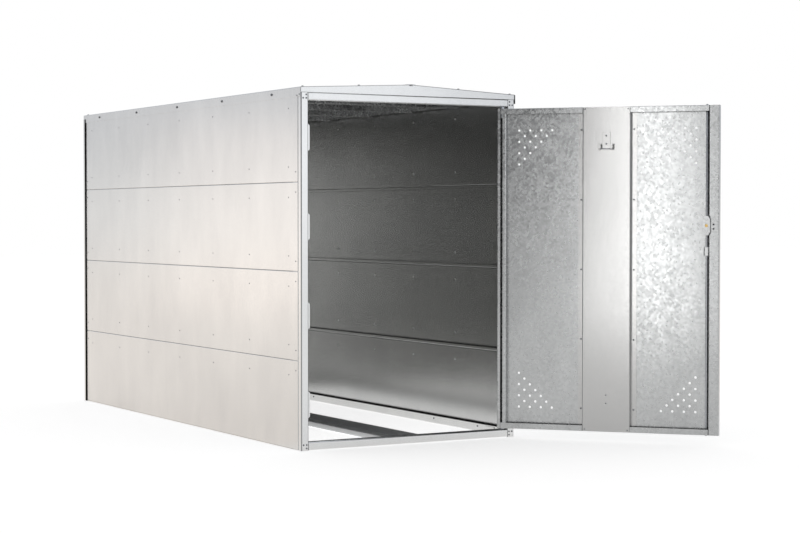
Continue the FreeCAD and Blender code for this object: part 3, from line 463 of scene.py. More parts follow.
def tones(key):
    """The darker and the lighter colour of a finish."""
    return [linear(getattr(colours(), f"{key}_{end}")) for end in ("dark", "light")]


def add(tree, kind, inputs=(), **settings):
    """Adds a shader node with its settings and gives its outputs.

    Its inputs are values or links, in the node's own order or by name or number.
    """
    node = tree.nodes.new("ShaderNode" + kind)
    for key, value in settings.items():
        setattr(node, key, value)
    for key, value in inputs.items() if isinstance(inputs, dict) else enumerate(inputs):
        if isinstance(value, bpy.types.NodeSocket):
            tree.links.new(value, node.inputs[key])
        else:
            node.inputs[key].default_value = value
    return node.outputs


def new_material(name):
    """A material and its empty node tree."""
    material = bpy.data.materials.new(name)
    material.use_nodes = True
    material.node_tree.nodes.clear()
    return material, material.node_tree


def sheet_zinc(name, dark_light, cell, spangle, rough, streak, relief, wavy):
    """Hot-dip zinc on folded sheet, shared by the finishes below.

    The zinc freezes in flat crystals, so cells of the spangle's real width set each crystal's tone,
    its gloss and the way it leans. Fine feathering runs a different way in every crystal, and slow upright
    clouds come from the dip and the rolls. Folds, cut ends and inner faces get a painted shade, darkened
    toward the bend colour.
    """
    material, tree = new_material(name)
    place = add(tree, "TexCoord")["Object"]
    crystals = add(tree, "TexVoronoi", {"Vector": place, "Scale": 1 / cell})
    lean = crystals["Color"]
    tone = add(tree, "SeparateColor", (lean,))
    arm = add(tree, "VectorMath", (place, crystals["Position"]), operation="SUBTRACT")[0]
    centred = add(tree, "VectorMath", (lean, (0.5, 0.5, 0.5)), operation="SUBTRACT")[0]
    angle = add(tree, "MapRange", (tone[1], 0.0, 1.0, 0.0, 2 * math.pi))[0]
    spun = {"Vector": arm, "Axis": centred, "Angle": angle}
    grain = add(tree, "VectorRotate", spun, rotation_type="AXIS_ANGLE")[0]
    drawn = add(tree, "Mapping", {"Vector": grain, "Scale": (1.0, 5.0, 5.0)})[0]
    arms = {"Vector": drawn, "Scale": 0.9 / cell, "Detail": 3.0, "Roughness": 0.6}
    feather = add(tree, "TexNoise", arms)[0]
    upright = add(tree, "Mapping", {"Vector": place, "Scale": (1.0, 1.0, 0.4)})[0]
    clouds = add(tree, "TexNoise", {"Vector": upright, "Scale": 9.0, "Detail": 4.0, "Roughness": 0.6})[0]
    slow = add(tree, "TexNoise", {"Vector": place, "Scale": 2.4, "Detail": 2.0, "Roughness": 0.5})[0]
    shares = ((tone[0], spangle * 0.6), (feather, spangle * 1.6), (clouds, streak), (slow, streak))
    total = 0.0
    for value, weight in shares:
        total = add(tree, "Math", (value, weight, total), operation="MULTIPLY_ADD")[0]
    middle = 0.5 * sum(weight for _, weight in shares)
    share = add(tree, "MapRange", (total, middle - 0.5, middle + 0.5, 0.0, 1.0))[0]
    unshaded_zinc = add(tree, "Mix", {0: share, 6: dark_light[0], 7: dark_light[1]}, data_type="RGBA")[2]
    # Painted shade: the colour is darkened toward the bend colour as far as each point's stored share says.
    painted_shade_share = add(tree, "Attribute", attribute_name="wear")["Fac"]
    with_painted_shade = add(tree, "Mix", {0: painted_shade_share, 6: unshaded_zinc, 7: linear(colours().bend)}, data_type="RGBA")[2]
    swing = 0.5 * spangle * rough
    gloss = add(tree, "MapRange", (tone[2], 0.0, 1.0, rough - swing, rough + swing))[0]
    slope = add(tree, "VectorMath", (arm, centred), operation="DOT_PRODUCT")["Value"]
    fine = add(tree, "Math", (feather, cell * 0.05, slope), operation="MULTIPLY_ADD")[0]
    facets = add(tree, "Bump", {"Height": fine, "Strength": relief, "Distance": 1.0})[0]
    waves = add(tree, "Bump", {"Height": clouds, "Strength": 1.0, "Distance": wavy, "Normal": facets})[0]
    look = {"Metallic": 1.0, "Base Color": with_painted_shade, "Roughness": gloss, "Normal": waves}
    add(tree, "OutputMaterial", add(tree, "BsdfPrincipled", look))
    return material


def panel_zinc():
    """Skin-passed galvanised sheet of the walls and roof: rolled smooth, so only slow clouds show."""
    grain = {"cell": 8 * MM, "spangle": 0.12, "rough": 0.21, "streak": 0.9}
    return sheet_zinc("galvanised_skin_passed", tones("wall"), **grain, relief=0.003, wavy=0.3 * MM)


def leaf_zinc():
    """Galvanised sheet of the door as dipped: open feathery spangle and cloudy. Its tones are the walls' zinc
    made darker, a painted shade for the dark surroundings mirrored in the open leaf.
    """
    grain = {"cell": 8 * MM, "spangle": 0.4, "rough": 0.24, "streak": 0.7}
    return sheet_zinc("galvanised_spangled", tones("leaf"), **grain, relief=0.005, wavy=0.2 * MM)


def hat_zinc():
    """Smoother galvanised sheet of the hat and the hook, folded from another coil than the leaf. Its tones
    are made darker than the walls' zinc, a painted shade like the leaf's.
    """
    grain = {"cell": 8 * MM, "spangle": 0.1, "rough": 0.22, "streak": 0.5}
    return sheet_zinc("galvanised_smooth", tones("hat"), **grain, relief=0.003, wavy=0.2 * MM)


def frame_zinc():
    """Heavier galvanised sheet of the front frame: a shade brighter than the walls and as smooth."""
    grain = {"cell": 6 * MM, "spangle": 0.15, "rough": 0.24, "streak": 0.6}
    return sheet_zinc("galvanised_frame", tones("frame"), **grain, relief=0.003, wavy=0.1 * MM)


def scuffed_zinc():
    """The frame's sheet in the wheel channel, scuffed dull by use."""
    grain = {"cell": 6 * MM, "spangle": 0.15, "rough": 0.55, "streak": 0.6}
    return sheet_zinc("galvanised_scuffed", tones("frame"), **grain, relief=0.003, wavy=0.1 * MM)


def rear_zinc():
    """The walls' sheet on the rear posts, with a painted shade: a dark band where the open joint beside the
    panels lies in shade.
    """
    material = panel_zinc()
    material.name = "galvanised_with_open_joint"
    tree = material.node_tree
    shader = next(node for node in tree.nodes if node.type == "BSDF_PRINCIPLED")
    base = shader.inputs["Base Color"]
    along = add(tree, "SeparateXYZ", (add(tree, "TexCoord")["Object"],))["Y"]
    # Painted shade: a dark band along the open joint beside the panels.
    joint = add(tree, "Math", (along, BACK - REAR_STRIP, JOINT_SHADE_HALF), operation="COMPARE")[0]
    shade = {0: joint, 6: base.links[0].from_socket, 7: linear(colours().joint)}
    tree.links.new(add(tree, "Mix", shade, data_type="RGBA")[2], base)
    return material


def small_metal(name, dark_light, size, rough, swing, bump):
    """A small metal piece: mottled tone and gloss from one noise of a real grain size."""
    material, tree = new_material(name)
    place = add(tree, "TexCoord")["Object"]
    grain = add(tree, "TexNoise", {"Vector": place, "Scale": 1 / size, "Detail": 4.0, "Roughness": 0.6})[0]
    share = add(tree, "MapRange", (grain, 0.35, 0.65, 0.0, 1.0))[0]
    mottled = add(tree, "Mix", {0: share, 6: dark_light[0], 7: dark_light[1]}, data_type="RGBA")[2]
    gloss = add(tree, "MapRange", (share, 0.0, 1.0, rough - swing, rough + swing))[0]
    relief = add(tree, "Bump", {"Height": share, "Strength": bump, "Distance": 0.1 * MM})[0]
    look = {"Metallic": 1.0, "Base Color": mottled, "Roughness": gloss, "Normal": relief}
    add(tree, "OutputMaterial", add(tree, "BsdfPrincipled", look))
    return material


def plated_zinc():
    """Electroplated steel of washers and pivot blocks: cool, even and a little milky."""
    return small_metal("zinc_plated", tones("plated"), size=3 * MM, rough=0.34, swing=0.06, bump=0.2)


def dull_fastener():
    """Heads of rivets and screws, passivated and dull: they show as dark dots on the bright sheet."""
    return small_metal("passivated_steel", tones("head"), size=3 * MM, rough=0.42, swing=0.06, bump=0.2)


def clinched_tail():
    """Spread tails of the seam rivets inside: matt, so that they catch light from every side."""
    return small_metal("rivet_tail", tones("tail"), size=3 * MM, rough=0.6, swing=0.06, bump=0.2)


def drawn_steel():
    """Cold-drawn bar of the rods and pins, oiled and grey, with lines too fine to see."""
    return small_metal("drawn_steel", tones("rod"), size=5 * MM, rough=0.3, swing=0.05, bump=0.15)


def turned_brass():
    """Turned brass of the key cylinder: warm, with rings from the lathe softened by use."""
    return small_metal("turned_brass", tones("brass"), size=2 * MM, rough=0.28, swing=0.06, bump=0.15)


def powder_black():
    """Black powder coat on the cast handle and its plate: a fine orange peel under a soft sheen."""
    material, tree = new_material("powder_coat_black")
    place = add(tree, "TexCoord")["Object"]
    peel = add(tree, "TexNoise", {"Vector": place, "Scale": 1 / (1.1 * MM), "Detail": 2.0})[0]
    rubbed = {"Vector": place, "Scale": 1 / (18 * MM), "Detail": 5.0, "Roughness": 0.65}
    wear = add(tree, "TexNoise", rubbed)[0]
    dark, light = tones("black")
    coat = add(tree, "Mix", {0: wear, 6: dark, 7: light}, data_type="RGBA")[2]
    gloss = add(tree, "MapRange", (wear, 0.3, 0.7, 0.36, 0.5))[0]
    relief = add(tree, "Bump", {"Height": peel, "Strength": 0.25, "Distance": 0.12 * MM})[0]
    look = {"Metallic": 0.0, "IOR": 1.5, "Base Color": coat, "Roughness": gloss, "Normal": relief}
    add(tree, "OutputMaterial", add(tree, "BsdfPrincipled", look))
    return material


MAKERS = {
    "panel": panel_zinc,
    "leaf": leaf_zinc,
    "hat": hat_zinc,
    "frame": frame_zinc,
    "rear": rear_zinc,
    "scuffed": scuffed_zinc,
    "plated": plated_zinc,
    "heads": dull_fastener,
    "tails": clinched_tail,
    "drawn": drawn_steel,
    "brass": turned_brass,
    "black": powder_black,
}
MADE = {}


def finish(key):
    """The material of that key, made once."""
    if key not in MADE:
        MADE[key] = MAKERS[key]()
    return MADE[key]


# Settings that a user would change


def metres(label, says, default):
    """A setting that is a length."""
    return FloatProperty(
        name=label, description=says, default=default, min=0.0, subtype="DISTANCE", unit="LENGTH")


def degrees(label, says, default):
    """A setting that is an angle, its default given in degrees."""
    return FloatProperty(
        name=label, description=says, default=math.radians(default), subtype="ANGLE", unit="ROTATION")


def amount(label, says, default):
    """A setting that is a strength of light."""
    return FloatProperty(name=label, description=says, default=default, min=0.0)


def hex_colour(label, says, default):
    """A setting that is an sRGB hex colour."""
    return StringProperty(name=label, description=says, default=default)


class LockerSizes(bpy.types.PropertyGroup):
    """Sizes of what the frame doesn't say: trim, waviness and small fasteners."""

    bow: metres("Panel bow", "How far a wall panel's skin bows in between its folds", 0.03 * MM)
    leaf_bow: metres("Leaf bow", "How far the leaf's skin bows between its stiffeners", 0.15 * MM)
    pitch: metres("Rivet pitch", "Distance between the small rivets along a seam", 310 * MM)
    first: metres("First rivet", "Distance of the first seam rivet from the front", 90 * MM)
    drop: metres("Rivet drop", "Distance of the seam rivets above and below a seam", 51 * MM)
    dot: metres("Seam rivet radius", "Radius of the small seam rivets' heads", 2.3 * MM)
    columns: IntProperty(
        name="Rivet columns", description="How many small rivets stand along each seam", default=7)


class LockerColours(bpy.types.PropertyGroup):
    """The darker and the lighter tone that each finish runs between."""

    wall_dark: hex_colour("Walls, dark", "Clouds on walls and roof", "#CBCBCA")
    wall_light: hex_colour("Walls, light", "Open zinc on walls and roof", "#DEDEDC")
    # The leaf's tones are painted shade: the walls' zinc made darker for the dark surroundings mirrored in
    # the open leaf.
    leaf_dark: hex_colour("Leaf, dark", "Dark crystals of the leaf", "#A0A1A1")
    leaf_light: hex_colour("Leaf, light", "Bright crystals of the leaf", "#BFC0C0")
    # The hat's tones are painted shade too, darker than the walls' zinc.
    hat_dark: hex_colour("Hat, dark", "Clouds on hat and hook", "#ABABAA")
    hat_light: hex_colour("Hat, light", "Open zinc on hat and hook", "#B9B8B7")
    frame_dark: hex_colour("Frame, dark", "Dark mottling of the frame", "#D2D3D3")
    frame_light: hex_colour("Frame, light", "Bright mottling of the frame", "#E2E3E3")
    # The bend colour is painted shade, laid on folds, cut ends and inner faces.
    bend: hex_colour("Bends", "Stretched zinc on a tight bend", "#8A8B8C")
    joint: hex_colour("Open joint", "Shade in the joint beside a rear post", "#262626")
    plated_dark: hex_colour("Plated, dark", "Shade of plated pieces", "#A9ACB0")
    plated_light: hex_colour("Plated, light", "Light of plated pieces", "#C4C7CB")
    head_dark: hex_colour("Heads, dark", "Shade of screw and rivet heads", "#6A6C6F")
    head_light: hex_colour("Heads, light", "Light of screw and rivet heads", "#898B8E")
    tail_dark: hex_colour("Tails, dark", "Shade of the rivets' tails", "#C2C3C4")
    tail_light: hex_colour("Tails, light", "Light of the rivets' tails", "#E2E3E3")
    rod_dark: hex_colour("Rods, dark", "Shade of the drawn rods", "#9C9EA1")
    rod_light: hex_colour("Rods, light", "Light of the drawn rods", "#B2B4B7")
    brass_dark: hex_colour("Brass, dark", "Shade of the cylinder", "#C9A45E")
    brass_light: hex_colour("Brass, light", "Light of the cylinder", "#DDBD7C")
    black_dark: hex_colour("Black, dark", "Powder coat of the handle", "#17181A")
    black_light: hex_colour("Black, light", "Rubbed coat of the handle", "#26282A")


class LockerStudio(bpy.types.PropertyGroup):
    """The camera and the light."""

    place: FloatVectorProperty(
        name="Camera", description="Where the camera stands", size=3,
        default=(-3.2584, -6.6010, 0.7797), subtype="XYZ", unit="LENGTH")
    yaw: degrees("Yaw", "Turn of the camera to the right of straight on", 29.94)
    pitch: degrees("Pitch", "Tilt of the camera up from level", -1.47)
    lens: FloatProperty(
        name="Lens", description="Focal length on a 36 mm wide sensor", default=84.25,
        subtype="DISTANCE_CAMERA")
    sky: amount("Soft light", "Strength of the even light that falls on matt surfaces", 0.56)
    glow: amount("Floor lift", "How far the floor is lifted to white where it is seen", 0.53)
    # Inside lift is a painted light on the ground inside the locker, over the locker's shadow.
    inside: amount("Inside lift", "How much more the ground inside the locker is lifted", 0.24)
    floor: hex_colour("Floor colour", "Colour of the floor", "#F4F4F4")
    warm: hex_colour("Mirrored floor", "Tint of the floor seen in metal", "#FFF3E9")
    cool: hex_colour("Mirrored sky", "Tint overhead seen in metal", "#F6F9FF")


def sizes():
    return bpy.context.scene.locker_sizes


def colours():
    return bpy.context.scene.locker_colours


# Pieces


# How far apart the stations stand along a bowed skin and along a straight fold
SKIN_STEP = 60 * MM
FOLD_STEP = 150 * MM
PANEL_FOLD = 0.7 * MM
PANEL_LIP = 10 * MM
PANEL_NOTCH = 40 * MM
# How dark the painted shade is: in a panel's folds, and all over the inner faces of walls and roof
SEAM_SHADE = 0.4
WALL_INSIDE_SHADE = 0.12
ROOF_INSIDE_SHADE = 0.95
DOT_RINGS = ((1.0, 0.0), (0.92, 0.35), (0.6, 0.62), (0.24, 0.7))
DOT_SIDES = 10


def dot_shell(radius):
    """The low domed head of a small rivet, radius and height in shares of its own radius."""
    return turned_shell(np.array(DOT_RINGS) * radius, DOT_SIDES)


def fold_shade_grid(near, run, most=1.0, inside=0.0):
    """The painted shade of a folded sheet's two faces, the same all along its run: dark in its folds, and the
    inner face darkened as well.
    """
    with_painted_shade = bent(near) * most
    return np.repeat(np.concatenate([with_painted_shade, np.maximum(with_painted_shade, inside)]), len(run))


def inside_ends(run, start, end):
    """Which cells of a run lie between its two notched ends."""
    return (run[:-1] > start - HAIR) & (run[1:] < end + HAIR)


def touching(points):
    """Which cells have a point of the set at either side."""
    return points[:-1] | points[1:]


def wall_panel(start, end, seed):
    """A wall cassette along Y with its skin to the left: both flanges and lips cut away at its ends.

    Gives the shell and the painted shade of its bends and inner face.
    """
    skin, lip = PANEL_LOW[0], PANEL_HIGH[0]
    corners = [(lip, PANEL_HEIGHT - PANEL_LIP), (lip, PANEL_HEIGHT), (skin, PANEL_HEIGHT)]
    corners += [(skin, z) for z in np.linspace(PANEL_HEIGHT, 0.0, 9)[1:-1]]
    corners += [(skin, 0.0), (lip, 0.0), (lip, PANEL_LIP)]
    near, far = bend_line(corners, SHEET, PANEL_FOLD)
    first, last = start + PANEL_NOTCH, end - PANEL_NOTCH
    run = stations(start, end, SKIN_STEP, first, last)
    along = (run - start)[None] / (end - start)
    bowed = buckle(along, np.clip(near[:, 1:] / PANEL_HEIGHT, 0.0, 1.0), seed)
    inward = np.where(near[:, :1] < skin + TOUCH, sizes().bow * bowed, 0.0)
    faces = [across(face[:, :1] + inward, face[:, 1:], run[None]) for face in (near, far)]
    flange = touching(near[:, 0] > skin + SHEET)
    shell = sheet_shell(*faces, keep=~flange[:, None] | inside_ends(run, first, last)[None])
    return shell, fold_shade_grid(near, run, SEAM_SHADE, WALL_INSIDE_SHADE)


def mirror_x(points):
    """Points mirrored across the locker's middle."""
    return points * np.array([-1.0, 1.0, 1.0])


def to_rear(points):
    """Turns a left wall panel a quarter turn, so that its skin faces the back."""
    x, y, z = points.T
    return np.stack([y, -x + BACK - HALF_WIDTH, z], -1)


# Each wall: its name and nodes, where its panels start and end, its first seed, and its turn into place
WALLS = (
    ("left", "side_panel_left", PANEL_LOW[1], PANEL_HIGH[1], 1, np.positive),
    ("right", "side_panel_right", PANEL_LOW[1], PANEL_HIGH[1], 6, mirror_x),
    ("rear", "rear_panel", REAR_LOW[0], REAR_HIGH[0], 11, to_rear),
)


class LOCKER_OT_walls(bpy.types.Operator):
    """Side and rear walls of folded panels, each skin a little bowed, with flanges and lips inside"""

    bl_idname = "locker.walls"
    bl_label = "Wall panels"

    def execute(self, context):
        for row in range(PANEL_ROWS):
            up = np.array([0.0, 0.0, PANEL_BASE + PANEL_HEIGHT * row])
            for name, node, start, end, seed, turn in WALLS:
                shell, wear = wall_panel(start, end, row + seed)
                shell = moved(shell, lambda points: turn(points + up))
                name, node = f"{name}_wall_panel_{row + 1}", f"{node}_{row + 1}"
                add_piece(name, shell, "cabinet", "panel", [node], wear)
        return {"FINISHED"}


# The rivets at both ends of a seam: distances from the wall's end and from the seam
END_RIVET = 37 * MM
END_RIVET_DROP = 34 * MM
# A tail is spread wider than its head, and both follow the skin where it bows
TAIL_SPREAD = 1.3
SKIN_BOWED = 0.25 * MM


class LOCKER_OT_seam_rivets(bpy.types.Operator):
    """Small rivets above and below every seam of the walls, with their tails inside"""

    bl_idname = "locker.seam_rivets"
    bl_label = "Seam rivets"

    def execute(self, context):
        size = sizes()
        along = FRONT + size.first + size.pitch * np.arange(size.columns)
        ends = np.array([FRONT + END_RIVET, BACK - END_RIVET])
        levels = PANEL_BASE + PANEL_HEIGHT * np.arange(1, PANEL_ROWS + 1)
        spots = [(y, z - size.drop) for y in along for z in levels]
        spots += [(y, z + size.drop) for y in along for z in levels[:-1]]
        spots += [(y, z + way * END_RIVET_DROP) for y in ends for z in levels[:-1] for way in (-1, 1)]
        y, z = np.array(spots).T
        between = ~np.isin(y, ends)
        skin = HALF_WIDTH + SHEET - SUNK - np.where(between, SKIN_BOWED, 0.0)
        for name, side in (("left_seam_rivets", -1.0), ("right_seam_rivets", 1.0)):
            heads = stamped(dot_shell(size.dot), on_plan(side * skin, y, z), facing((side, 0, 0)))
            places = on_plan(side * (skin - SHEET), y, z)[between]
            tails = stamped(dot_shell(size.dot * TAIL_SPREAD), places, facing((-side, 0, 0)))
            add_piece(name, heads, "cabinet", "heads")
            add_piece(f"{name}_inside", tails, "cabinet", "tails")
        return {"FINISHED"}


def folded_run(corners, thickness, place, start, end, step=FOLD_STEP, radii=FOLD):
    """A folded section carried straight along from start to end."""
    run = spaced(start, end, step)[None]
    faces = bend_line(corners, thickness, radii)
    return sheet_shell(*(place(face[:, :1], face[:, 1:], run) for face in faces))


RIVET_RADIUS = 3.2 * MM
RIVET_SIDES = 18
RIVET_RINGS = ((1.0, 0.0), (1.0, 0.1), (0.86, 0.3), (0.6, 0.42), (0.34, 0.44), (0.3, 0.3), (0.08, 0.28))


def rivet_shell():
    """A blind rivet's head: a dome with the drawn-in mouth of its broken stem."""
    return turned_shell(np.array(RIVET_RINGS) * RIVET_RADIUS, RIVET_SIDES)


# A front post: its inner lip, how deep it is folded, the gap that it leaves under the roof, and its stations
POST_LIP = 12 * MM
POST_DEPTH = 28.5 * MM
POST_GAP = 1.2 * MM
POST_STEP = 200 * MM
# Three rivets in an L: two distances from the frame's corner, one near and one far
CORNER_NEAR = 8.5 * MM
CORNER_FAR = 20 * MM
CORNER_L = ((CORNER_FAR, CORNER_FAR), (CORNER_NEAR, CORNER_FAR), (CORNER_FAR, CORNER_NEAR))


class LOCKER_OT_front_frame(bpy.types.Operator):
    """The two front posts with true bends, and three rivets in an L at each corner of the frame"""

    bl_idname = "locker.front_frame"
    bl_label = "Front frame"

    def execute(self, context):
        inner, fold = POST_HIGH[0], FRONT + POST_DEPTH
        corners = [(-HALF_WIDTH, POST_HIGH[1]), (-HALF_WIDTH, FRONT), (inner, FRONT), (inner, fold)]
        near, far = bend_line([*corners, (inner - POST_LIP, fold)], FRAME_SHEET)
        run = stations(0.0, HEAD_TOP - POST_GAP, POST_STEP, SILL_TOP, HEADER_FOOT)
        behind = (near[:, 1] > FRONT + FRAME_SHEET) & (near[:, 0] > -HALF_WIDTH + 2 * FRAME_SHEET)
        keep = ~touching(behind)[:, None] | inside_ends(run, SILL_TOP, HEADER_FOOT)[None]
        faces = [on_plan(face[:, :1], face[:, 1:], run[None]) for face in (near, far)]
        # The posts' folds take the full painted shade.
        add_pair("front_post", "front_post", sheet_shell(*faces, keep=keep), "frame", fold_shade_grid(near, run))
        places = [
            (side * (HALF_WIDTH - dx), FRONT + TOUCH, level + way * dz)
            for side in (-1, 1) for level, way in ((0.0, 1), (HEAD_TOP, -1)) for dx, dz in CORNER_L
        ]
        heads = stamped(rivet_shell(), places, facing((0, -1, 0)))
        add_piece("frame_corner_rivets", heads, "cabinet", "heads", ["corner_rivets"])
        return {"FINISHED"}


# The rear posts' visible strip beside the walls stands a little proud of them, past an open joint, where the
# posts' finish paints a dark band of shade
REAR_STRIP = 17.5 * MM
REAR_RISE = 6.3 * MM
REAR_CREASE = 0.4 * MM
REAR_STEP = 400 * MM
JOINT_SHADE_HALF = 2.6 * MM


class LOCKER_OT_rear_posts(bpy.types.Operator):
    """The two rear corner posts, whose visible strips stand proud of the side walls"""

    bl_idname = "locker.rear_posts"
    bl_label = "Rear posts"

    def execute(self, context):
        low, high = row_box("rear_post_left")
        proud, strip = -HALF_WIDTH - REAR_RISE, BACK - REAR_STRIP
        corners = [(high[0], BACK), (proud, BACK), (proud, strip), (-HALF_WIDTH, strip)]
        corners.append((-HALF_WIDTH, low[1]))
        radii = [FOLD, FOLD, REAR_CREASE, REAR_CREASE, FOLD]
        left = folded_run(corners, FRAME_SHEET, on_plan, 0.0, high[2], REAR_STEP, radii)
        add_pair("rear_post", "rear_post", left, "rear")
        return {"FINISHED"}


SCREW_FLANGE = ((1.0, 0.0), (1.0, 0.08), (0.86, 0.2), (0.5, 0.22))
SCREW_HEX = ((0.8, 0.1), (0.8, 0.56), (0.7, 0.68), (0.3, 0.7))
SCREW_SIDES = 14


def screw_shell(height):
    """A self-drilling screw's head: a round flange under a hexagon with a bevelled top."""
    radius = height / SCREW_HEX[-1][1]
    flange = turned_shell(np.array(SCREW_FLANGE) * radius, SCREW_SIDES)
    return joined(flange, turned_shell(np.array(SCREW_HEX) * radius, sides=6))


# A roof sheet: its standing flange at the ridge with a notch at both ends, its bend there, its trimmed
# edge, its sag and the painted shade on its cut ends
RIDGE_FLANGE = 25 * MM
RIDGE_NOTCH = 30 * MM
RIDGE_BEND = 4 * MM
ROOF_TRIM = 3 * MM
ROOF_SAG = 0.9 * MM
CUT_END_SHADE = 0.5
# Screws: those of the drip flange stand along it, and those on top stand near the roof's ends
DRIP_SCREWS = FRONT + 215 * MM + 410 * MM * np.arange(5)
TOP_SCREW_IN = 12 * MM
TOP_SCREW_OUT = (198.5 * MM, HALF_WIDTH - TOP_SCREW_IN)
TOP_SCREWS = [(x, y) for y in (FRONT + TOP_SCREW_IN, BACK - TOP_SCREW_IN) for x in TOP_SCREW_OUT]
# Two small rivets close the front corner of each drip flange: distances from its front and its lower edge
FLANGE_RIVETS = ((23 * MM, 4 * MM), (6 * MM, 7 * MM))
FLANGE_DOT = 2.6 * MM


class LOCKER_OT_roof(bpy.types.Operator):
    """Roof sheets with ridge and drip flanges, and the screws along their edges"""

    bl_idname = "locker.roof"
    bl_label = "Roof"

    def execute(self, context):
        ridge, outer, drip = ROOF_HIGH[2], ROOF_LOW[0], ROOF_LOW[2]
        eave = drip + DRIP_HEIGHT
        start, end = ROOF_LOW[1], ROOF_HIGH[1]
        first, last = start + RIDGE_NOTCH, end - RIDGE_NOTCH
        slope = [(outer * share, ridge + (eave - ridge) * share) for share in np.linspace(0, 1, 7)[1:-1]]
        corners = [(0.0, ridge - RIDGE_FLANGE), (0.0, ridge), *slope, (outer, eave), (outer, drip)]
        near, far = bend_line(corners, SHEET)
        run = stations(start, end, SKIN_STEP, start + ROOF_TRIM, first, last, end - ROOF_TRIM)
        sagging = buckle((run - start)[None] / (end - start), np.clip(near[:, :1] / outer, 0.0, 1.0), 3.0)
        sloping = (near[:, 1:] > eave) & (near[:, :1] < -RIDGE_BEND)
        sag = np.where(sloping, ROOF_SAG * sagging, 0.0)
        faces = [across(face[:, :1], face[:, 1:] - sag, run[None]) for face in (near, far)]
        standing = touching((near[:, 0] > -SHEET - SUNK) & (near[:, 1] < ridge - RIDGE_BEND))
        left = sheet_shell(*faces, keep=~standing[:, None] | inside_ends(run, first, last)[None])
        # Painted shade: dark cut ends and folds, and the whole underside darkened.
        cut_end = np.pad(np.zeros(len(run) - 2), 1, constant_values=CUT_END_SHADE)
        with_painted_shade = np.maximum(bent(near)[:, None] * SEAM_SHADE, cut_end[None]).ravel()
        wear = np.concatenate([with_painted_shade, np.maximum(with_painted_shade, ROOF_INSIDE_SHADE)])
        add_pair("roof_sheet", "roof_sheet", left, "panel", wear)
        head = screw_shell(outer - SCREW_OUT)
        groups = []
        for side in (-1.0, 1.0):
            up = np.array([side * math.sin(ROOF_SLOPE), 0.0, math.cos(ROOF_SLOPE)])
            on_flange = [(side * -outer, y, eave - DRIP_HEIGHT / 2) for y in DRIP_SCREWS]
            on_top = [(side * x, y, ridge - (ridge - eave) * x / -outer) for x, y in TOP_SCREWS]
            small = [(side * (-outer - SUNK), FRONT + y, drip + z) for y, z in FLANGE_RIVETS]
            groups += [stamped(head, on_flange, facing((side, 0, 0))), stamped(head, on_top, facing(up))]
            groups.append(stamped(dot_shell(FLANGE_DOT), small, facing((side, 0, 0))))
        screws = joined(*groups)
        add_piece("roof_edge_screws", screws, "cabinet", "heads", ["roof_screws"])
        return {"FINISHED"}


# The wheel channel: the width and the drop of its rolled-over rims, and its bends' radii from rim to floor
CHANNEL_ROLL = 6 * MM
CHANNEL_DROP = 10 * MM
CHANNEL_BENDS = [FOLD, 2.2 * MM, 1.2 * MM, 3 * MM]
# The bolts through the base rails: their places along them, their height and their radius
RAIL_BOLTS = (-0.816, -0.506, 0.49)
RAIL_BOLT_LEVEL = 20 * MM
RAIL_BOLT_RADIUS = 3.2 * MM


class LOCKER_OT_wheel_channel(bpy.types.Operator):
    """The wheel guide down the middle, its walls rolled over along the top, and the base rails' bolts"""

    bl_idname = "locker.wheel_channel"
    bl_label = "Wheel channel"

    def execute(self, context):
        side = CHANNEL_HIGH[0] - FRAME_SHEET
        wall, rise = side - CHANNEL_ROLL, CHANNEL_HIGH[2] - FRAME_SHEET
        right = [(wall, 0.0), (wall, rise), (side, rise), (side, rise - CHANNEL_DROP)]
        corners = [(-x, z) for x, z in reversed(right)] + right
        radii = CHANNEL_BENDS + CHANNEL_BENDS[::-1]
        shell = folded_run(corners, FRAME_SHEET, across, CHANNEL_LOW[1], CHANNEL_HIGH[1], radii=radii)
        add_piece("wheel_guide_channel", shell, "cabinet", "scuffed", ["wheel_channel"])
        face = row_box("base_rail_right")[0][0] + SUNK
        bolts = []
        for side in (1, -1):
            spots = [(side * face, y, RAIL_BOLT_LEVEL) for y in RAIL_BOLTS]
            bolts.append(stamped(dot_shell(RAIL_BOLT_RADIUS), spots, facing((-side, 0, 0))))
        add_piece("base_rail_bolts", joined(*bolts), "cabinet", "heads")
        return {"FINISHED"}


# The leaf: its end lips, its upright lips, the room beside a lip or the hat, and how far apart its stations
# stand. Then half the hat's width
END_LIP = 20 * MM
LOCK_LIP = 36 * MM
HINGE_LIP = 12 * MM
LIP_ROOM = 1 * MM
LEAF_STEP = 45 * MM
HAT_HALF = 83.5 * MM
# The first vent's middle from each side and from both ends, the vents' pitch and how many rows a corner has
VENT_FROM_LOCK = 84 * MM
VENT_FROM_HINGE = 75 * MM
VENT_FROM_END = 77 * MM
VENT_CELL = 20 * MM
VENT_ROWS = 7


def vent_columns():
    """The four corners' vent cells: middles of the first cells from each side and each end."""
    x = LEAF_LOW[0] + VENT_FROM_LOCK, LEAF_HIGH[0] - VENT_FROM_HINGE
    return *x, LEAF_LOW[2] + VENT_FROM_END, LEAF_HIGH[2] - VENT_FROM_END


def vent_mask(x_lines, z_lines):
    """Which grid cells hold a vent: those whose middle lies on a staggered triangle.

    Counting cells k away from the corner column and r away from the end row, a vent stands where k + r
    is even and k + r is under the number of rows.
    """
    left, right, low, high = vent_columns()
    x = (x_lines[1:] + x_lines[:-1])[:, None] / 2
    z = (z_lines[1:] + z_lines[:-1])[None] / 2
    narrow = (np.abs(np.diff(x_lines) - VENT_CELL) < HAIR)[:, None]
    shallow = (np.abs(np.diff(z_lines) - VENT_CELL) < HAIR)[None]
    k = (np.where(x < LEAF_CENTRE, x - left, right - x) / VENT_CELL).round().astype(int)
    r = (np.where(z < (low + high) / 2, z - low, high - z) / VENT_CELL).round().astype(int)
    return (k >= 0) & (r >= 0) & (k + r < VENT_ROWS) & ((k + r) % 2 == 0) & narrow & shallow


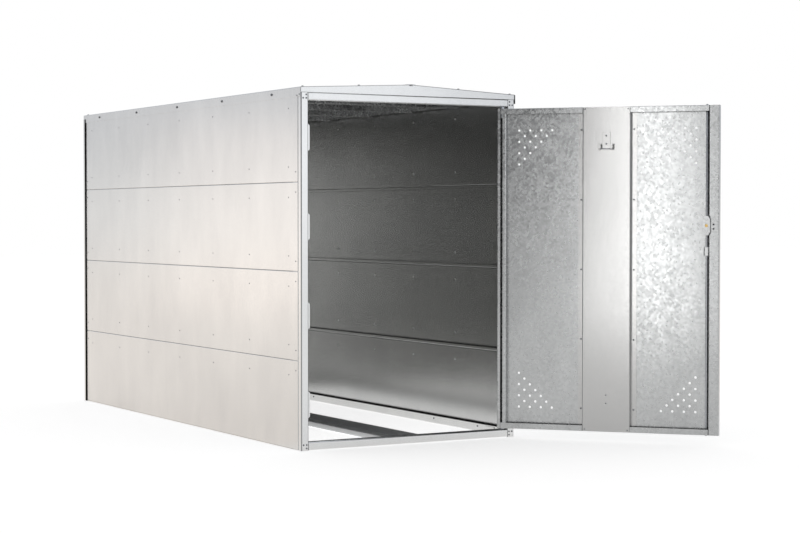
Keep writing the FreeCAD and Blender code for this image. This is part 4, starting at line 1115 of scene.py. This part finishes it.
def leaf_skin(bow):
    """The leaf's skin with both end flanges and end lips, as one folded grid with round vents.

    The end lips stop at the hat, whose crown runs on to the flanges.
    """
    low, high = LEAF_LOW[2], LEAF_HIGH[2]
    face, back = LEAF_LOW[1], LEAF_HIGH[1]
    edge = FOLD + SHEET
    left, right, low_vent, high_vent = vent_columns()
    offsets = (np.arange(VENT_ROWS + 1) - 0.5) * VENT_CELL
    lip_ends = LEAF_LOW[0] + LOCK_LIP + LIP_ROOM, LEAF_HIGH[0] - HINGE_LIP - LIP_ROOM
    hat_ends = LEAF_CENTRE - HAT_HALF - LIP_ROOM, LEAF_CENTRE + HAT_HALF + LIP_ROOM
    x_marks = (*(left + offsets), *(right - offsets), *lip_ends, *hat_ends)
    x_lines = stations(LEAF_LOW[0] + edge, LEAF_HIGH[0] - edge, LEAF_STEP, *x_marks)
    z_inner = stations(low + edge, high - edge, LEAF_STEP, *(low_vent + offsets), *(high_vent - offsets))
    corners = [(back, low + END_LIP), (back, low), (face, low), *((face, z) for z in z_inner[1:-1])]
    near, far = bend_line([*corners, (face, high), (back, high), (back, high - END_LIP)], -SHEET)
    z_line = near[:, 1]
    across_share = (x_lines - x_lines[0]) / (x_lines[-1] - x_lines[0])
    up_share = (z_line - low) / (high - low)
    flat = np.abs(near[:, 0] - face) < TOUCH
    bowed = bow * buckle(up_share[:, None], (0.5 - 0.5 * np.cos(4 * math.pi * across_share))[None], 5.0)
    inward = np.where(flat[:, None], bowed, 0.0)
    grids = [lengthways(line[:, :1] + inward, line[:, 1:], x_lines[None]) for line in (near, far)]
    on_lip = near[:, 0] > back - edge - HAIR
    lip_row = on_lip[:-1] & on_lip[1:]
    outside = (x_lines[1:] < lip_ends[0] + HAIR) | (x_lines[:-1] > lip_ends[1] - HAIR)
    outside |= inside_ends(x_lines, *hat_ends)
    holed = (flat[:-1] & flat[1:])[:, None] & vent_mask(x_lines, z_line).T
    return sheet_shell(*grids, keep=~(lip_row[:, None] & outside[None]), holed=holed)


def leaf_side(corners, marks=()):
    """One upright edge of the leaf, its wall and lip, carried up the leaf's height."""
    near, far = bend_line(corners, SHEET)
    run = stations(LEAF_LOW[2], LEAF_HIGH[2], FOLD_STEP, *marks)
    return near, run, [on_plan(line[:, :1], line[:, 1:], run[None]) for line in (near, far)]


# The lock cover's notch in the wide lip: half its height at the lip's edge and at its bottom, where it ends,
# how far its bottom stands off the strip beside it, and the height of the lip's return
NOTCH_OUT = 35.5 * MM
NOTCH_IN = 21.25 * MM
NOTCH_END = 29 * MM
NOTCH_ROOM = 0.4 * MM
LIP_RETURN = 8 * MM


def free_side():
    """The lock edge: the lip's return, the wide lip, the wall and the first strip of the skin.

    The notch for the lock's cover drops the return and its bend, and slants to its full depth.
    """
    side, lip_end, notch_in = (LEAF_LOW[0] + x for x in (0.0, LOCK_LIP, NOTCH_END))
    face, back = LEAF_LOW[1], LEAF_HIGH[1]
    corners = [(lip_end, back - LIP_RETURN), (lip_end, back), (notch_in, back), (side, back)]
    corners += [(side, face), (side + FOLD + SHEET, face)]
    marks = [LOCK_Z + way * half for way in (-1, 1) for half in (NOTCH_OUT, NOTCH_IN)]
    near, run, grids = leaf_side(corners, marks)
    over = near[:, 0] > notch_in + TOUCH
    flat_lip = near[:, 1] > back - HAIR
    bend_start = near[flat_lip & over][:, 0].min()
    at_bend = flat_lip & (np.abs(near[:, 0] - bend_start) < HAIR)
    for grid in grids:
        grid[np.ix_(at_bend, np.abs(run - LOCK_Z) < NOTCH_IN + TOUCH, [0])] = notch_in + NOTCH_ROOM
    cell_height = np.abs((run[1:] + run[:-1]) / 2 - LOCK_Z)[None]
    beyond = (over[:-1] & over[1:])[:, None]
    strip = ((over[:-1] ^ over[1:]) & flat_lip[:-1] & flat_lip[1:])[:, None]
    return sheet_shell(*grids, keep=~(beyond & (cell_height < NOTCH_OUT) | strip & (cell_height < NOTCH_IN)))


def hinge_side():
    """The hinge edge: the last strip of the skin, the wall and its narrow lip."""
    right, face, back = LEAF_HIGH[0], LEAF_LOW[1], LEAF_HIGH[1]
    corners = [(right - FOLD - SHEET, face), (right, face), (right, back), (right - HINGE_LIP, back)]
    return sheet_shell(*leaf_side(corners)[2])


HAT_FLANGE = 20 * MM
HAT_DIP = 0.35 * MM
# How dark the painted shade in the hat's folds is
HAT_FOLD_SHADE = 0.6


def hat_form():
    """The wide hat, its crown a little dipped between its edges, and the painted shade of its bends."""
    foot, crown = HAT_LOW[1], HAT_HIGH[1] - SHEET
    outer = HAT_HALF + HAT_FLANGE
    line = [(outer, foot), (HAT_HALF, foot), *((a, crown) for a in np.linspace(HAT_HALF, -HAT_HALF, 7))]
    line += [(-HAT_HALF, foot), (-outer, foot)]
    near, far = bend_line([(LEAF_CENTRE - a, b) for a, b in line], SHEET)
    run = spaced(HAT_LOW[2], HAT_HIGH[2], SKIN_STEP)
    share = (run - run[0]) / (run[-1] - run[0])
    across_share = np.clip((near[:, :1] - LEAF_CENTRE) / (2 * HAT_HALF) + 0.5, 0, 1)
    dip = np.where(near[:, 1:] > crown - TOUCH, HAT_DIP * buckle(share[None], across_share, 8.0), 0.0)
    grids = [on_plan(face[:, :1], face[:, 1:] - dip, run[None]) for face in (near, far)]
    return sheet_shell(*grids), fold_shade_grid(near, run, HAT_FOLD_SHADE)


# The leaf's fasteners, whose heads look inward from it
LOOKING_IN = facing((0, 1, 0))
# Five rivets up each flange of the hat: distance from the hat's middle and from the leaf's ends
HAT_RIVET_OUT = 93.5 * MM
HAT_RIVET_END = 78 * MM
# Two rivets hold the hook: distances from its top, and its sheet's thickness
HOOK_RIVETS = (12 * MM, 41 * MM)
HOOK_SHEET = 2.5 * MM
# Small rivets on the hat's crown: near its corners, and two low down in its middle
CROWN_DOT = 2.7 * MM
CROWN_OUT = 76 * MM
CROWN_END = 6 * MM
CROWN_LOW = (134 * MM, 163 * MM)
# Two black screws hold the lock's plate: their distance from it to the free side, their heights about it
PLATE_SCREW = 3.6 * MM
PLATE_SCREW_OUT = 24.5 * MM
PLATE_SCREWS = (-10.5 * MM, 4.5 * MM)
# The spindle's brass end in the lock cover: a raised rim about a shallow dish
BUTTON = ((1.0, 0.0), (1.0, 0.16), (0.86, 0.24), (0.66, 0.2), (0.5, 0.1), (0.1, 0.08))
BUTTON_RADIUS = 5.5 * MM


class LOCKER_OT_leaf(bpy.types.Operator):
    """The door leaf as a folded tray with round vents, its hinge stile and its wide hat"""

    bl_idname = "locker.leaf"
    bl_label = "Door leaf"

    def execute(self, context):
        leaf = joined(leaf_skin(sizes().leaf_bow), free_side(), hinge_side())
        add_to_leaf("leaf_tray", leaf, "leaf", ["door_leaf"])
        (left, outer, low), (right, inner, high) = STILE_LOW, STILE_HIGH
        corners = [(right, inner), (left, inner), (left, outer), (right, outer)]
        stile = folded_run(corners, SHEET, on_plan, low, high)
        # The stile takes the leaf's darker tones, a painted shade beside the hinge.
        add_to_leaf("leaf_hinge_stile", stile, "leaf", ["hinge_stile"])
        hat, wear = hat_form()
        add_to_leaf("leaf_hat", hat, "hat", ["leaf_stiffener"], wear=wear)
        self.fasteners()
        return {"FINISHED"}

    def fasteners(self):
        """Rivet heads on the hat and the hook, the screws of the lock's plate and the spindle's end."""
        heights = np.linspace(LEAF_LOW[2] + HAT_RIVET_END, LEAF_HIGH[2] - HAT_RIVET_END, 5)
        flange, crown = HAT_LOW[1] + SHEET, HAT_HIGH[1] - SUNK
        spots = [(LEAF_CENTRE + way * HAT_RIVET_OUT, flange, z) for way in (-1, 1) for z in heights]
        spots += [(LEAF_CENTRE, HOOK_LOW[1] + HOOK_SHEET, HOOK_HIGH[2] - down) for down in HOOK_RIVETS]
        ends = HAT_LOW[2] + CROWN_END, HAT_HIGH[2] - CROWN_END
        small = [(LEAF_CENTRE + way * CROWN_OUT, crown, z) for way in (-1, 1) for z in ends]
        small += [(LEAF_CENTRE, crown, z) for z in CROWN_LOW]
        dots = stamped(dot_shell(CROWN_DOT), small, LOOKING_IN)
        heads = joined(stamped(rivet_shell(), spots, LOOKING_IN), dots)
        add_to_leaf("leaf_rivet_heads", heads, "heads", ["leaf_rivets"])
        spots = [(ROD_X - PLATE_SCREW_OUT, LEAF_HIGH[1] - SUNK, LOCK_Z + z) for z in PLATE_SCREWS]
        screws = stamped(dot_shell(PLATE_SCREW), spots, LOOKING_IN)
        add_to_leaf("lock_plate_screws", screws, "black")
        button = turned_shell(np.array(BUTTON) * BUTTON_RADIUS, sides=20)
        button = stamped(button, [(ROD_X, COVER_FACE - SUNK, LOCK_Z)], LOOKING_IN)
        add_to_leaf("spindle_end", button, "brass", body="handle")


# The hook: half its plate's width, a tine's width and height, the fold's radius, how far up the wide foot
# reaches, extra lines across it, given from the plate's top and sides and from a tine's tip, and its edges
HOOK_PLATE = 14 * MM
TINE_WIDTH = 6 * MM
TINE_RISE = 22 * MM
HOOK_FOLD = 4 * MM
HOOK_SHOULDER = 9 * MM
HOOK_CHAMFER = 4.5 * MM
HOOK_TOP_LINE = 1.2 * MM
TIP_LINES = (3 * MM, 1 * MM)
HOOK_EDGE = 0.6 * MM


class LOCKER_OT_hook(bpy.types.Operator):
    """The coat hook: a riveted plate whose foot turns out and ends in two upturned tines"""

    bl_idname = "locker.hook"
    bl_label = "Coat hook"

    def execute(self, context):
        top, low = HOOK_HIGH[2], HOOK_LOW[2]
        back, front = HOOK_LOW[1], HOOK_HIGH[1]
        rise, middle = low + TINE_RISE, (back + front) / 2
        outer = HOOK_HIGH[0] - LEAF_CENTRE
        inner = outer - TINE_WIDTH
        corners = [(back, top - down) for down in (0.0, HOOK_TOP_LINE, HOOK_CHAMFER)]
        corners += [(back, low), (middle, low), (front, low)]
        corners += [(front, rise - down) for down in (*TIP_LINES, 0.0)]
        near, far = bend_line(corners, HOOK_SHEET, HOOK_FOLD, steps=7)
        half = [HOOK_PLATE - HOOK_CHAMFER, HOOK_PLATE, inner, outer]
        columns = np.array([-x for x in reversed(half)] + [0] + half)
        grids = [lengthways(face[:, :1], face[:, 1:], LEAF_CENTRE + columns[None]) for face in (near, far)]
        upright = (near[:, 0] < back + HOOK_SHEET / 2) & (near[:, 1] > low + HOOK_SHOULDER)
        forked = near[:, 0] > middle - SUNK
        centre = np.abs((columns[1:] + columns[:-1]) / 2)[None]
        dropped = touching(upright)[:, None] & (centre > HOOK_PLATE)
        dropped |= (forked[:-1] & forked[1:])[:, None] & (centre < inner)
        shell = sheet_shell(*grids, keep=~dropped)
        hook = add_to_leaf("leaf_coat_hook", shell, "hat", ["coat_hook"])
        soften(hook, HOOK_EDGE, segments=2)
        return {"FINISHED"}


EDGE_ANGLE = math.radians(35)


def soften(piece, width, segments=1):
    """Rounds a piece's sharp edges with a small bevel, after joining points that lie together."""
    piece.modifiers.new("Weld", "WELD").merge_threshold = HAIR
    bevel = piece.modifiers.new("Bevel", "BEVEL")
    bevel.width = width
    bevel.segments = segments
    bevel.limit_method = "ANGLE"
    bevel.angle_limit = EDGE_ANGLE


def outside_lock(shell, level):
    """A form drawn about Z put on the leaf's outer side at the lock: its Z looks outward from that level."""
    rows = np.array([[-1.0, 0.0, 0.0], [0.0, 0.0, 1.0], [0.0, -1.0, 0.0]])
    return moved(shell, lambda points: points @ rows + np.array([ROD_X, level, LOCK_Z]))


# The handle's plate: its corners' radius and its edge
PLATE_CORNER = 16 * MM
PLATE_EDGE = 0.8 * MM
# The lever: its hub's radius, bore, seat and edges, where it starts in the hub, its rounded tip, half its
# width at both ends, half its height with the share of it that is left at the tip, and the least shares of
# both that the rounded tip ends in
HUB_RADIUS = 15 * MM
HUB_BORE = 8.5 * MM
HUB_SEAT = 12 * MM
HUB_CHAMFER = 1.6 * MM
HUB_EDGE = 0.4 * MM
HUB_GAP = 0.2 * MM
LEVER_START = 10 * MM
TIP_LENGTH = 7 * MM
LEVER_HALVES = (11 * MM, 7 * MM)
LEVER_HALF_HIGH = 4 * MM
TIP_SHARE = 0.86
LEAST_WIDTH = 0.02
LEAST_HIGH = 0.3
# The cylinder: radii and the edges of its face and its bore
CYLINDER_RADIUS = 8.5 * MM
CYLINDER_BORE = 5.6 * MM
FACE_EDGE = 0.5 * MM
BORE_EDGE = 0.3 * MM
# The plug: its radius, its edge's depth and the share of the radius inside it. Then the key slot's half
# width and half height, how far the outline is stretched for it, and the level of its floor
PLUG_RADIUS = 5.5 * MM
PLUG_EDGE = 0.25 * MM
PLUG_FACE = 0.955
SLOT_HALF = 1 * MM
SLOT_TALL = 3.8 * MM
SLOT_STRETCH = (2, 1.6)
SLOT_FLOOR = 1 * MM


class LOCKER_OT_handle(bpy.types.Operator):
    """The outside handle, its plate, and the brass cylinder with its plug"""

    bl_idname = "locker.handle"
    bl_label = "Handle and cylinder"

    def execute(self, context):
        half = (PLATE_HIGH - PLATE_LOW) / 2
        rect = [(x * half[0], z * half[2]) for x, z in ((-1, -1), (1, -1), (1, 1), (-1, 1))]
        plate = plate_shell(round_corners(rect, PLATE_CORNER, 10), 2 * half[1], PLATE_EDGE, 3)
        made = (
            ("handle_plate", plate, PLATE_HIGH, "black", "handle_black", "escutcheon", "door"),
            ("turning_handle", self.handle(), LEVER_HIGH, "black", "handle_black", "lock_handle", "handle"),
            ("key_cylinder", self.barrel(), CYLINDER_HIGH, "brass", "lock_brass", "lock_cylinder", "handle"),
            ("key_plug_face", self.plug(), PLUG_HIGH, "brass", "lock_brass", "lock_plug", "key_plug"),
        )
        for name, shell, high, key, slot, node, body in made:
            add_to_leaf(name, outside_lock(shell, high[1]), key, [node], body)
        return {"FINISHED"}

    def handle(self):
        """A bored hub and a tapered lever with a rounded tip.

        Along the lever a section is a rounded box: |y / w|^4 + |z / h|^4 = 1, with w and h falling from
        root to tip, and the last sections shrink as a quarter circle.
        """
        high = LEVER_HIGH[1] - LEVER_LOW[1]
        deep = high - HUB_SEAT
        hub = [(HUB_GAP, 0.0), (HUB_RADIUS, 0.0), (HUB_RADIUS, high - HUB_CHAMFER)]
        hub += [(HUB_RADIUS - HUB_CHAMFER, high), (HUB_BORE + HUB_EDGE, high), (HUB_BORE, high - HUB_EDGE)]
        hub += [(HUB_BORE, deep), (HUB_GAP, deep)]
        reach = LEVER_HIGH[0] - ROD_X
        straight, tip_steps, sides = 14, 7, 28
        cap = np.concatenate([np.zeros(straight), np.linspace(0, math.pi / 2, tip_steps + 1)[1:]])
        along = np.linspace(LEVER_START, reach - TIP_LENGTH, straight)
        along = np.pad(along, (0, tip_steps), "edge") + TIP_LENGTH * np.sin(cap)
        shrink = np.maximum(np.cos(cap), LEAST_WIDTH)
        width = np.interp(along, [0, reach], LEVER_HALVES) * shrink
        height = LEVER_HALF_HIGH * np.maximum(shrink, LEAST_HIGH)
        height = height * np.interp(along, [0, reach], [1.0, TIP_SHARE])
        turn = np.arange(sides) * 2 * math.pi / sides
        round_box = (np.abs(np.cos(turn)) ** 4 + np.abs(np.sin(turn)) ** 4) ** -0.25
        y = width[:, None] * (round_box * np.cos(turn))[None]
        z = height[:, None] * (round_box * np.sin(turn))[None] + high - LEVER_HALF_HIGH
        lever = ring_shell(np.stack([np.broadcast_to(-along[:, None], y.shape), y, z], -1))
        return joined(turned_shell(hub, sides=48, hollow=True), lever)

    def barrel(self):
        """A bored cylinder with small chamfers on both edges of its face."""
        deep = CYLINDER_HIGH[1] - CYLINDER_LOW[1]
        outer, bore, edge = CYLINDER_RADIUS, CYLINDER_BORE, BORE_EDGE
        body = [(bore, 0), (outer, 0), (outer, deep - FACE_EDGE), (outer - FACE_EDGE, deep)]
        return turned_shell([*body, (bore + edge, deep), (bore, deep - edge)], sides=40, hollow=True)

    def plug(self):
        """A disc with a sunk key slot, whose outline is the disc's own, stretched and then clipped."""
        deep = PLUG_HIGH[1] - PLUG_LOW[1]
        turn = np.linspace(0, 2 * math.pi, 49)[:-1]
        outer = np.stack([np.cos(turn), np.sin(turn)], -1) * PLUG_RADIUS
        half = np.array([SLOT_HALF, SLOT_TALL])
        slot = np.clip(outer * SLOT_STRETCH, -half, half)
        face = [(outer, deep - PLUG_EDGE), (outer * PLUG_FACE, deep)]
        rings = [(outer, 0.0), *face, (slot, deep), (slot, SLOT_FLOOR)]
        stack = [np.column_stack([ring, np.full(len(ring), level)]) for ring, level in rings]
        return ring_shell(np.stack(stack))


# How the carried-over nodes are finished, by what their names start with, and what the drawn ones end with
STARTS = {
    "frame": ("front_sill", "front_header", "gable", "door_stops", "ridge_cap", "eave_rail"),
    # The roof bows take the leaf's darker tones, a painted shade under the roof.
    "leaf": ("lock_cover", "rod_guide", "roof_bow"),
    "panel": ("base_rail", "anchor_brackets"),
}
DRAWN_ENDS = ("rod", "pins", "spindle")
EDGES = {"drawn": 0.2 * MM, "plated": 0.3 * MM}
SHEET_EDGE = 0.5 * MM


class LOCKER_OT_kept_nodes(bpy.types.Operator):
    """Finishes the carried-over pieces: a material for each and a small radius on its edges"""

    bl_idname = "locker.kept_nodes"
    bl_label = "Carried-over pieces"

    def execute(self, context):
        for name, piece in NODES.items():
            if piece.hide_render:
                continue
            other = "drawn" if name.endswith(DRAWN_ENDS) else "plated"
            key = next((key for key, starts in STARTS.items() if name.startswith(starts)), other)
            piece.data.materials.clear()
            piece.data.materials.append(finish(key))
            soften(piece, EDGES.get(key, SHEET_EDGE))
        return {"FINISHED"}


# Each lamp: its name, its place, the point it looks at, its width and height, its power and its colour
LAMPS = (
    ("soft_box_back_left", (-4.0, 4.2, 0.8), (-0.43, -0.8, 0.8), (3.4, 1.3), 5.6, "#FFECDE"),
    ("soft_box_door", (-2.5, -3.38, 1.15), (0.7, -1.37, 0.95), (0.4, 2.0), 10.2, "#FFFFFF"),
    ("soft_box_front_right", (1.45, -5.6, 1.35), (-0.4, -1.0, 1.1), (2.4, 1.3), 4.5, "#FFFFFF"),
)
# The narrow lamp is there for the open leaf alone, so that its mirror image doesn't burn out the walls
DOOR_LAMP = "soft_box_door"
ON_DOOR = (
    "leaf_", "lock_", "rod_guide", "upper_rod", "lower_rod", "spindle_end", "top_pivot", "bottom_pivot",
)
# The floor: half its width, its level, how wide the edge of the painted light on the inner ground fades, and
# where the tint comes in
FLOOR_HALF = 30.0
FLOOR_LEVEL = -0.3 * MM
GROUND_FADE = 4 * MM
WARM_FROM = FRONT - 0.2
WARM_TO = FRONT + 0.3
# The mirrored sky, by how far up it is: where the white horizon ends, where the band above it ends, and how
# much darker the band and the rest are. Then the way to its dim side, which the open leaf mirrors
HORIZON = (0.015, 0.045)
BAND_END = (0.05, 0.065)
BAND_DIM = 0.36
OVERHEAD_DIM = 0.1
DIM_SIDE = (-0.883, -0.469, 0.0)
DIM_REACH = (0.72, 0.97)
SIDE_DIM = 0.88


class LOCKER_OT_studio(bpy.types.Operator):
    """A plain white floor, even light with three soft boxes, and the camera"""

    bl_idname = "locker.studio"
    bl_label = "Studio"

    def execute(self, context):
        studio = context.scene.locker_studio
        self.floor(studio)
        self.sky(studio)
        for row in LAMPS:
            self.lamp(*row)
        lit = bpy.data.collections.new("door_pieces")
        for piece in bpy.data.objects:
            if piece.type == "MESH" and piece.name.startswith(ON_DOOR):
                lit.objects.link(piece)
        bpy.data.objects[DOOR_LAMP].light_linking.receiver_collection = lit
        self.camera(studio)
        context.scene.view_settings.view_transform = "Standard"
        return {"FINISHED"}

    def floor(self, studio):
        """A wide plane just under the feet, which still takes the object's shadow.

        Where it is seen it glows a little, so that it stays white. Inside the locker it glows more: a painted
        light that takes away the locker's shadow on the ground there. In metal the ground beside and behind
        the locker is tinted a little warm.
        """
        corners = ((-FLOOR_HALF, -FLOOR_HALF), (FLOOR_HALF, -FLOOR_HALF))
        points = [(x * way, y * way, FLOOR_LEVEL) for way in (1, -1) for x, y in corners]
        mesh = bpy.data.meshes.new("studio_floor")
        mesh.from_pydata(points, [], [(0, 1, 2, 3)])
        material, tree = new_material("matt_white_floor")
        matt = add(tree, "BsdfDiffuse", {"Color": linear(studio.floor)})[0]
        path = add(tree, "LightPath")
        seen = add(tree, "Math", (path["Is Camera Ray"], path["Is Glossy Ray"]), operation="MAXIMUM")[0]
        seen = add(tree, "Math", (seen, path["Is Transmission Ray"]), operation="MAXIMUM")[0]
        place = add(tree, "TexCoord")["Object"]
        away = add(tree, "SeparateXYZ", (add(tree, "VectorMath", (place,), operation="ABSOLUTE")[0],))
        # Painted light: inside the locker's footprint the glow is raised over its shadow.
        within = add(tree, "MapRange", (away["X"], HALF_WIDTH - GROUND_FADE, HALF_WIDTH, 1.0, 0.0))[0]
        within = add(tree, "MapRange", (away["Y"], BACK - GROUND_FADE, BACK, within, 0.0))[0]
        glow = add(tree, "Math", (within, studio.inside, studio.glow), operation="MULTIPLY_ADD")[0]
        lift = add(tree, "Math", (seen, glow), operation="MULTIPLY")[0]
        along = add(tree, "SeparateXYZ", (place,))["Y"]
        beside = add(tree, "MapRange", (along, WARM_FROM, WARM_TO, 0.0, path["Is Glossy Ray"]))[0]
        warmed = add(tree, "MapRange", (within, 0.0, 1.0, beside, 0.0))[0]
        tints = {0: warmed, 6: linear("#FFFFFF"), 7: linear(studio.warm)}
        tint = add(tree, "Mix", tints, data_type="RGBA")[2]
        glow = add(tree, "Emission", {"Color": tint, "Strength": lift})[0]
        add(tree, "OutputMaterial", add(tree, "AddShader", (matt, glow)))
        mesh.materials.append(material)
        floor = bpy.data.objects.new("studio_floor", mesh)
        bpy.context.scene.collection.objects.link(floor)

    def sky(self, studio):
        """White where it is seen, and a plain even level where it lights matt surfaces.

        In metal it is white at the horizon, darker in a low band above it, a little dimmer and cooler
        overhead, and dimmer to the front left, so that flat sheet has the soft falls of tone that a real
        studio gives it.
        """
        world = bpy.data.worlds.new("studio_world")
        bpy.context.scene.world = world
        world.use_nodes = True
        tree = world.node_tree
        tree.nodes.clear()
        path = add(tree, "LightPath")
        way = add(tree, "TexCoord")["Generated"]
        height = add(tree, "SeparateXYZ", (way,))["Z"]
        overhead = add(tree, "MapRange", (height, *HORIZON, 0.0, 1.0))[0]
        band = add(tree, "MapRange", (height, *BAND_END, BAND_DIM, OVERHEAD_DIM))[0]
        aside = add(tree, "VectorMath", (way, DIM_SIDE), operation="DOT_PRODUCT")["Value"]
        dim = add(tree, "MapRange", (aside, *DIM_REACH, 0.0, 1.0))[0]
        darker = add(tree, "Math", (overhead, band), operation="MULTIPLY")[0]
        level = add(tree, "Math", (1.0, darker), operation="SUBTRACT")[0]
        shade = add(tree, "Math", (dim, -SIDE_DIM, 1.0), operation="MULTIPLY_ADD")[0]
        mirrored = add(tree, "Math", (level, shade), operation="MULTIPLY")[0]
        unseen = add(tree, "MapRange", (path["Is Glossy Ray"], 0.0, 1.0, studio.sky, mirrored))[0]
        rays = path["Is Camera Ray"], path["Is Transmission Ray"]
        direct = add(tree, "Math", rays, operation="MAXIMUM")[0]
        strength = add(tree, "MapRange", (direct, 0.0, 1.0, unseen, 1.0))[0]
        cooled = add(tree, "Math", (overhead, path["Is Glossy Ray"]), operation="MULTIPLY")[0]
        tints = {0: cooled, 6: linear("#FFFFFF"), 7: linear(studio.cool)}
        tint = add(tree, "Mix", tints, data_type="RGBA")[2]
        add(tree, "OutputWorld", add(tree, "Background", {"Color": tint, "Strength": strength}))

    def lamp(self, name, place, target, size, power, colour):
        """A rectangular lamp at a place, looking at a point."""
        data = bpy.data.lights.new(name, "AREA")
        data.shape = "RECTANGLE"
        data.size, data.size_y = size
        data.energy = power
        data.color = linear(colour)[:3]
        lamp = bpy.data.objects.new(name, data)
        lamp.location = place
        lamp.rotation_euler = (Vector(target) - Vector(place)).to_track_quat("-Z", "Y").to_euler()
        bpy.context.scene.collection.objects.link(lamp)

    def camera(self, studio):
        """The camera, which looks along +Y before its turn and tilt."""
        data = bpy.data.cameras.new("view")
        data.sensor_width = 36.0
        data.lens = studio.lens
        data.clip_end = 200.0
        camera = bpy.data.objects.new("view", data)
        camera.location = studio.place
        camera.rotation_euler = Euler((math.pi / 2 + studio.pitch, 0.0, -studio.yaw))
        bpy.context.scene.collection.objects.link(camera)
        bpy.context.scene.camera = camera


STEPS = (
    LOCKER_OT_walls,
    LOCKER_OT_seam_rivets,
    LOCKER_OT_front_frame,
    LOCKER_OT_rear_posts,
    LOCKER_OT_roof,
    LOCKER_OT_wheel_channel,
    LOCKER_OT_leaf,
    LOCKER_OT_hook,
    LOCKER_OT_handle,
    LOCKER_OT_kept_nodes,
    LOCKER_OT_studio,
)


class LOCKER_PT_panel(bpy.types.Panel):
    """The locker's steps in the 3D view's sidebar"""

    bl_idname = "LOCKER_PT_panel"
    bl_label = "Bicycle locker"
    bl_space_type = "VIEW_3D"
    bl_region_type = "UI"
    bl_category = "Locker"

    def draw(self, context):
        scene = context.scene
        for group in (scene.locker_sizes, scene.locker_colours, scene.locker_studio):
            for name in group.__annotations__:
                self.layout.prop(group, name)
        for step in STEPS:
            self.layout.operator(step.bl_idname)


CLASSES = (LockerSizes, LockerColours, LockerStudio, *STEPS, LOCKER_PT_panel)


def register():
    for cls in CLASSES:
        bpy.utils.register_class(cls)
    bpy.types.Scene.locker_sizes = PointerProperty(type=LockerSizes)
    bpy.types.Scene.locker_colours = PointerProperty(type=LockerColours)
    bpy.types.Scene.locker_studio = PointerProperty(type=LockerStudio)


def unregister():
    del bpy.types.Scene.locker_studio
    del bpy.types.Scene.locker_colours
    del bpy.types.Scene.locker_sizes
    for cls in reversed(CLASSES):
        bpy.utils.unregister_class(cls)


def main():
    register()
    for step in STEPS:
        group, name = step.bl_idname.split(".")
        getattr(getattr(bpy.ops, group), name)()


if __name__ == "__main__":
    main()
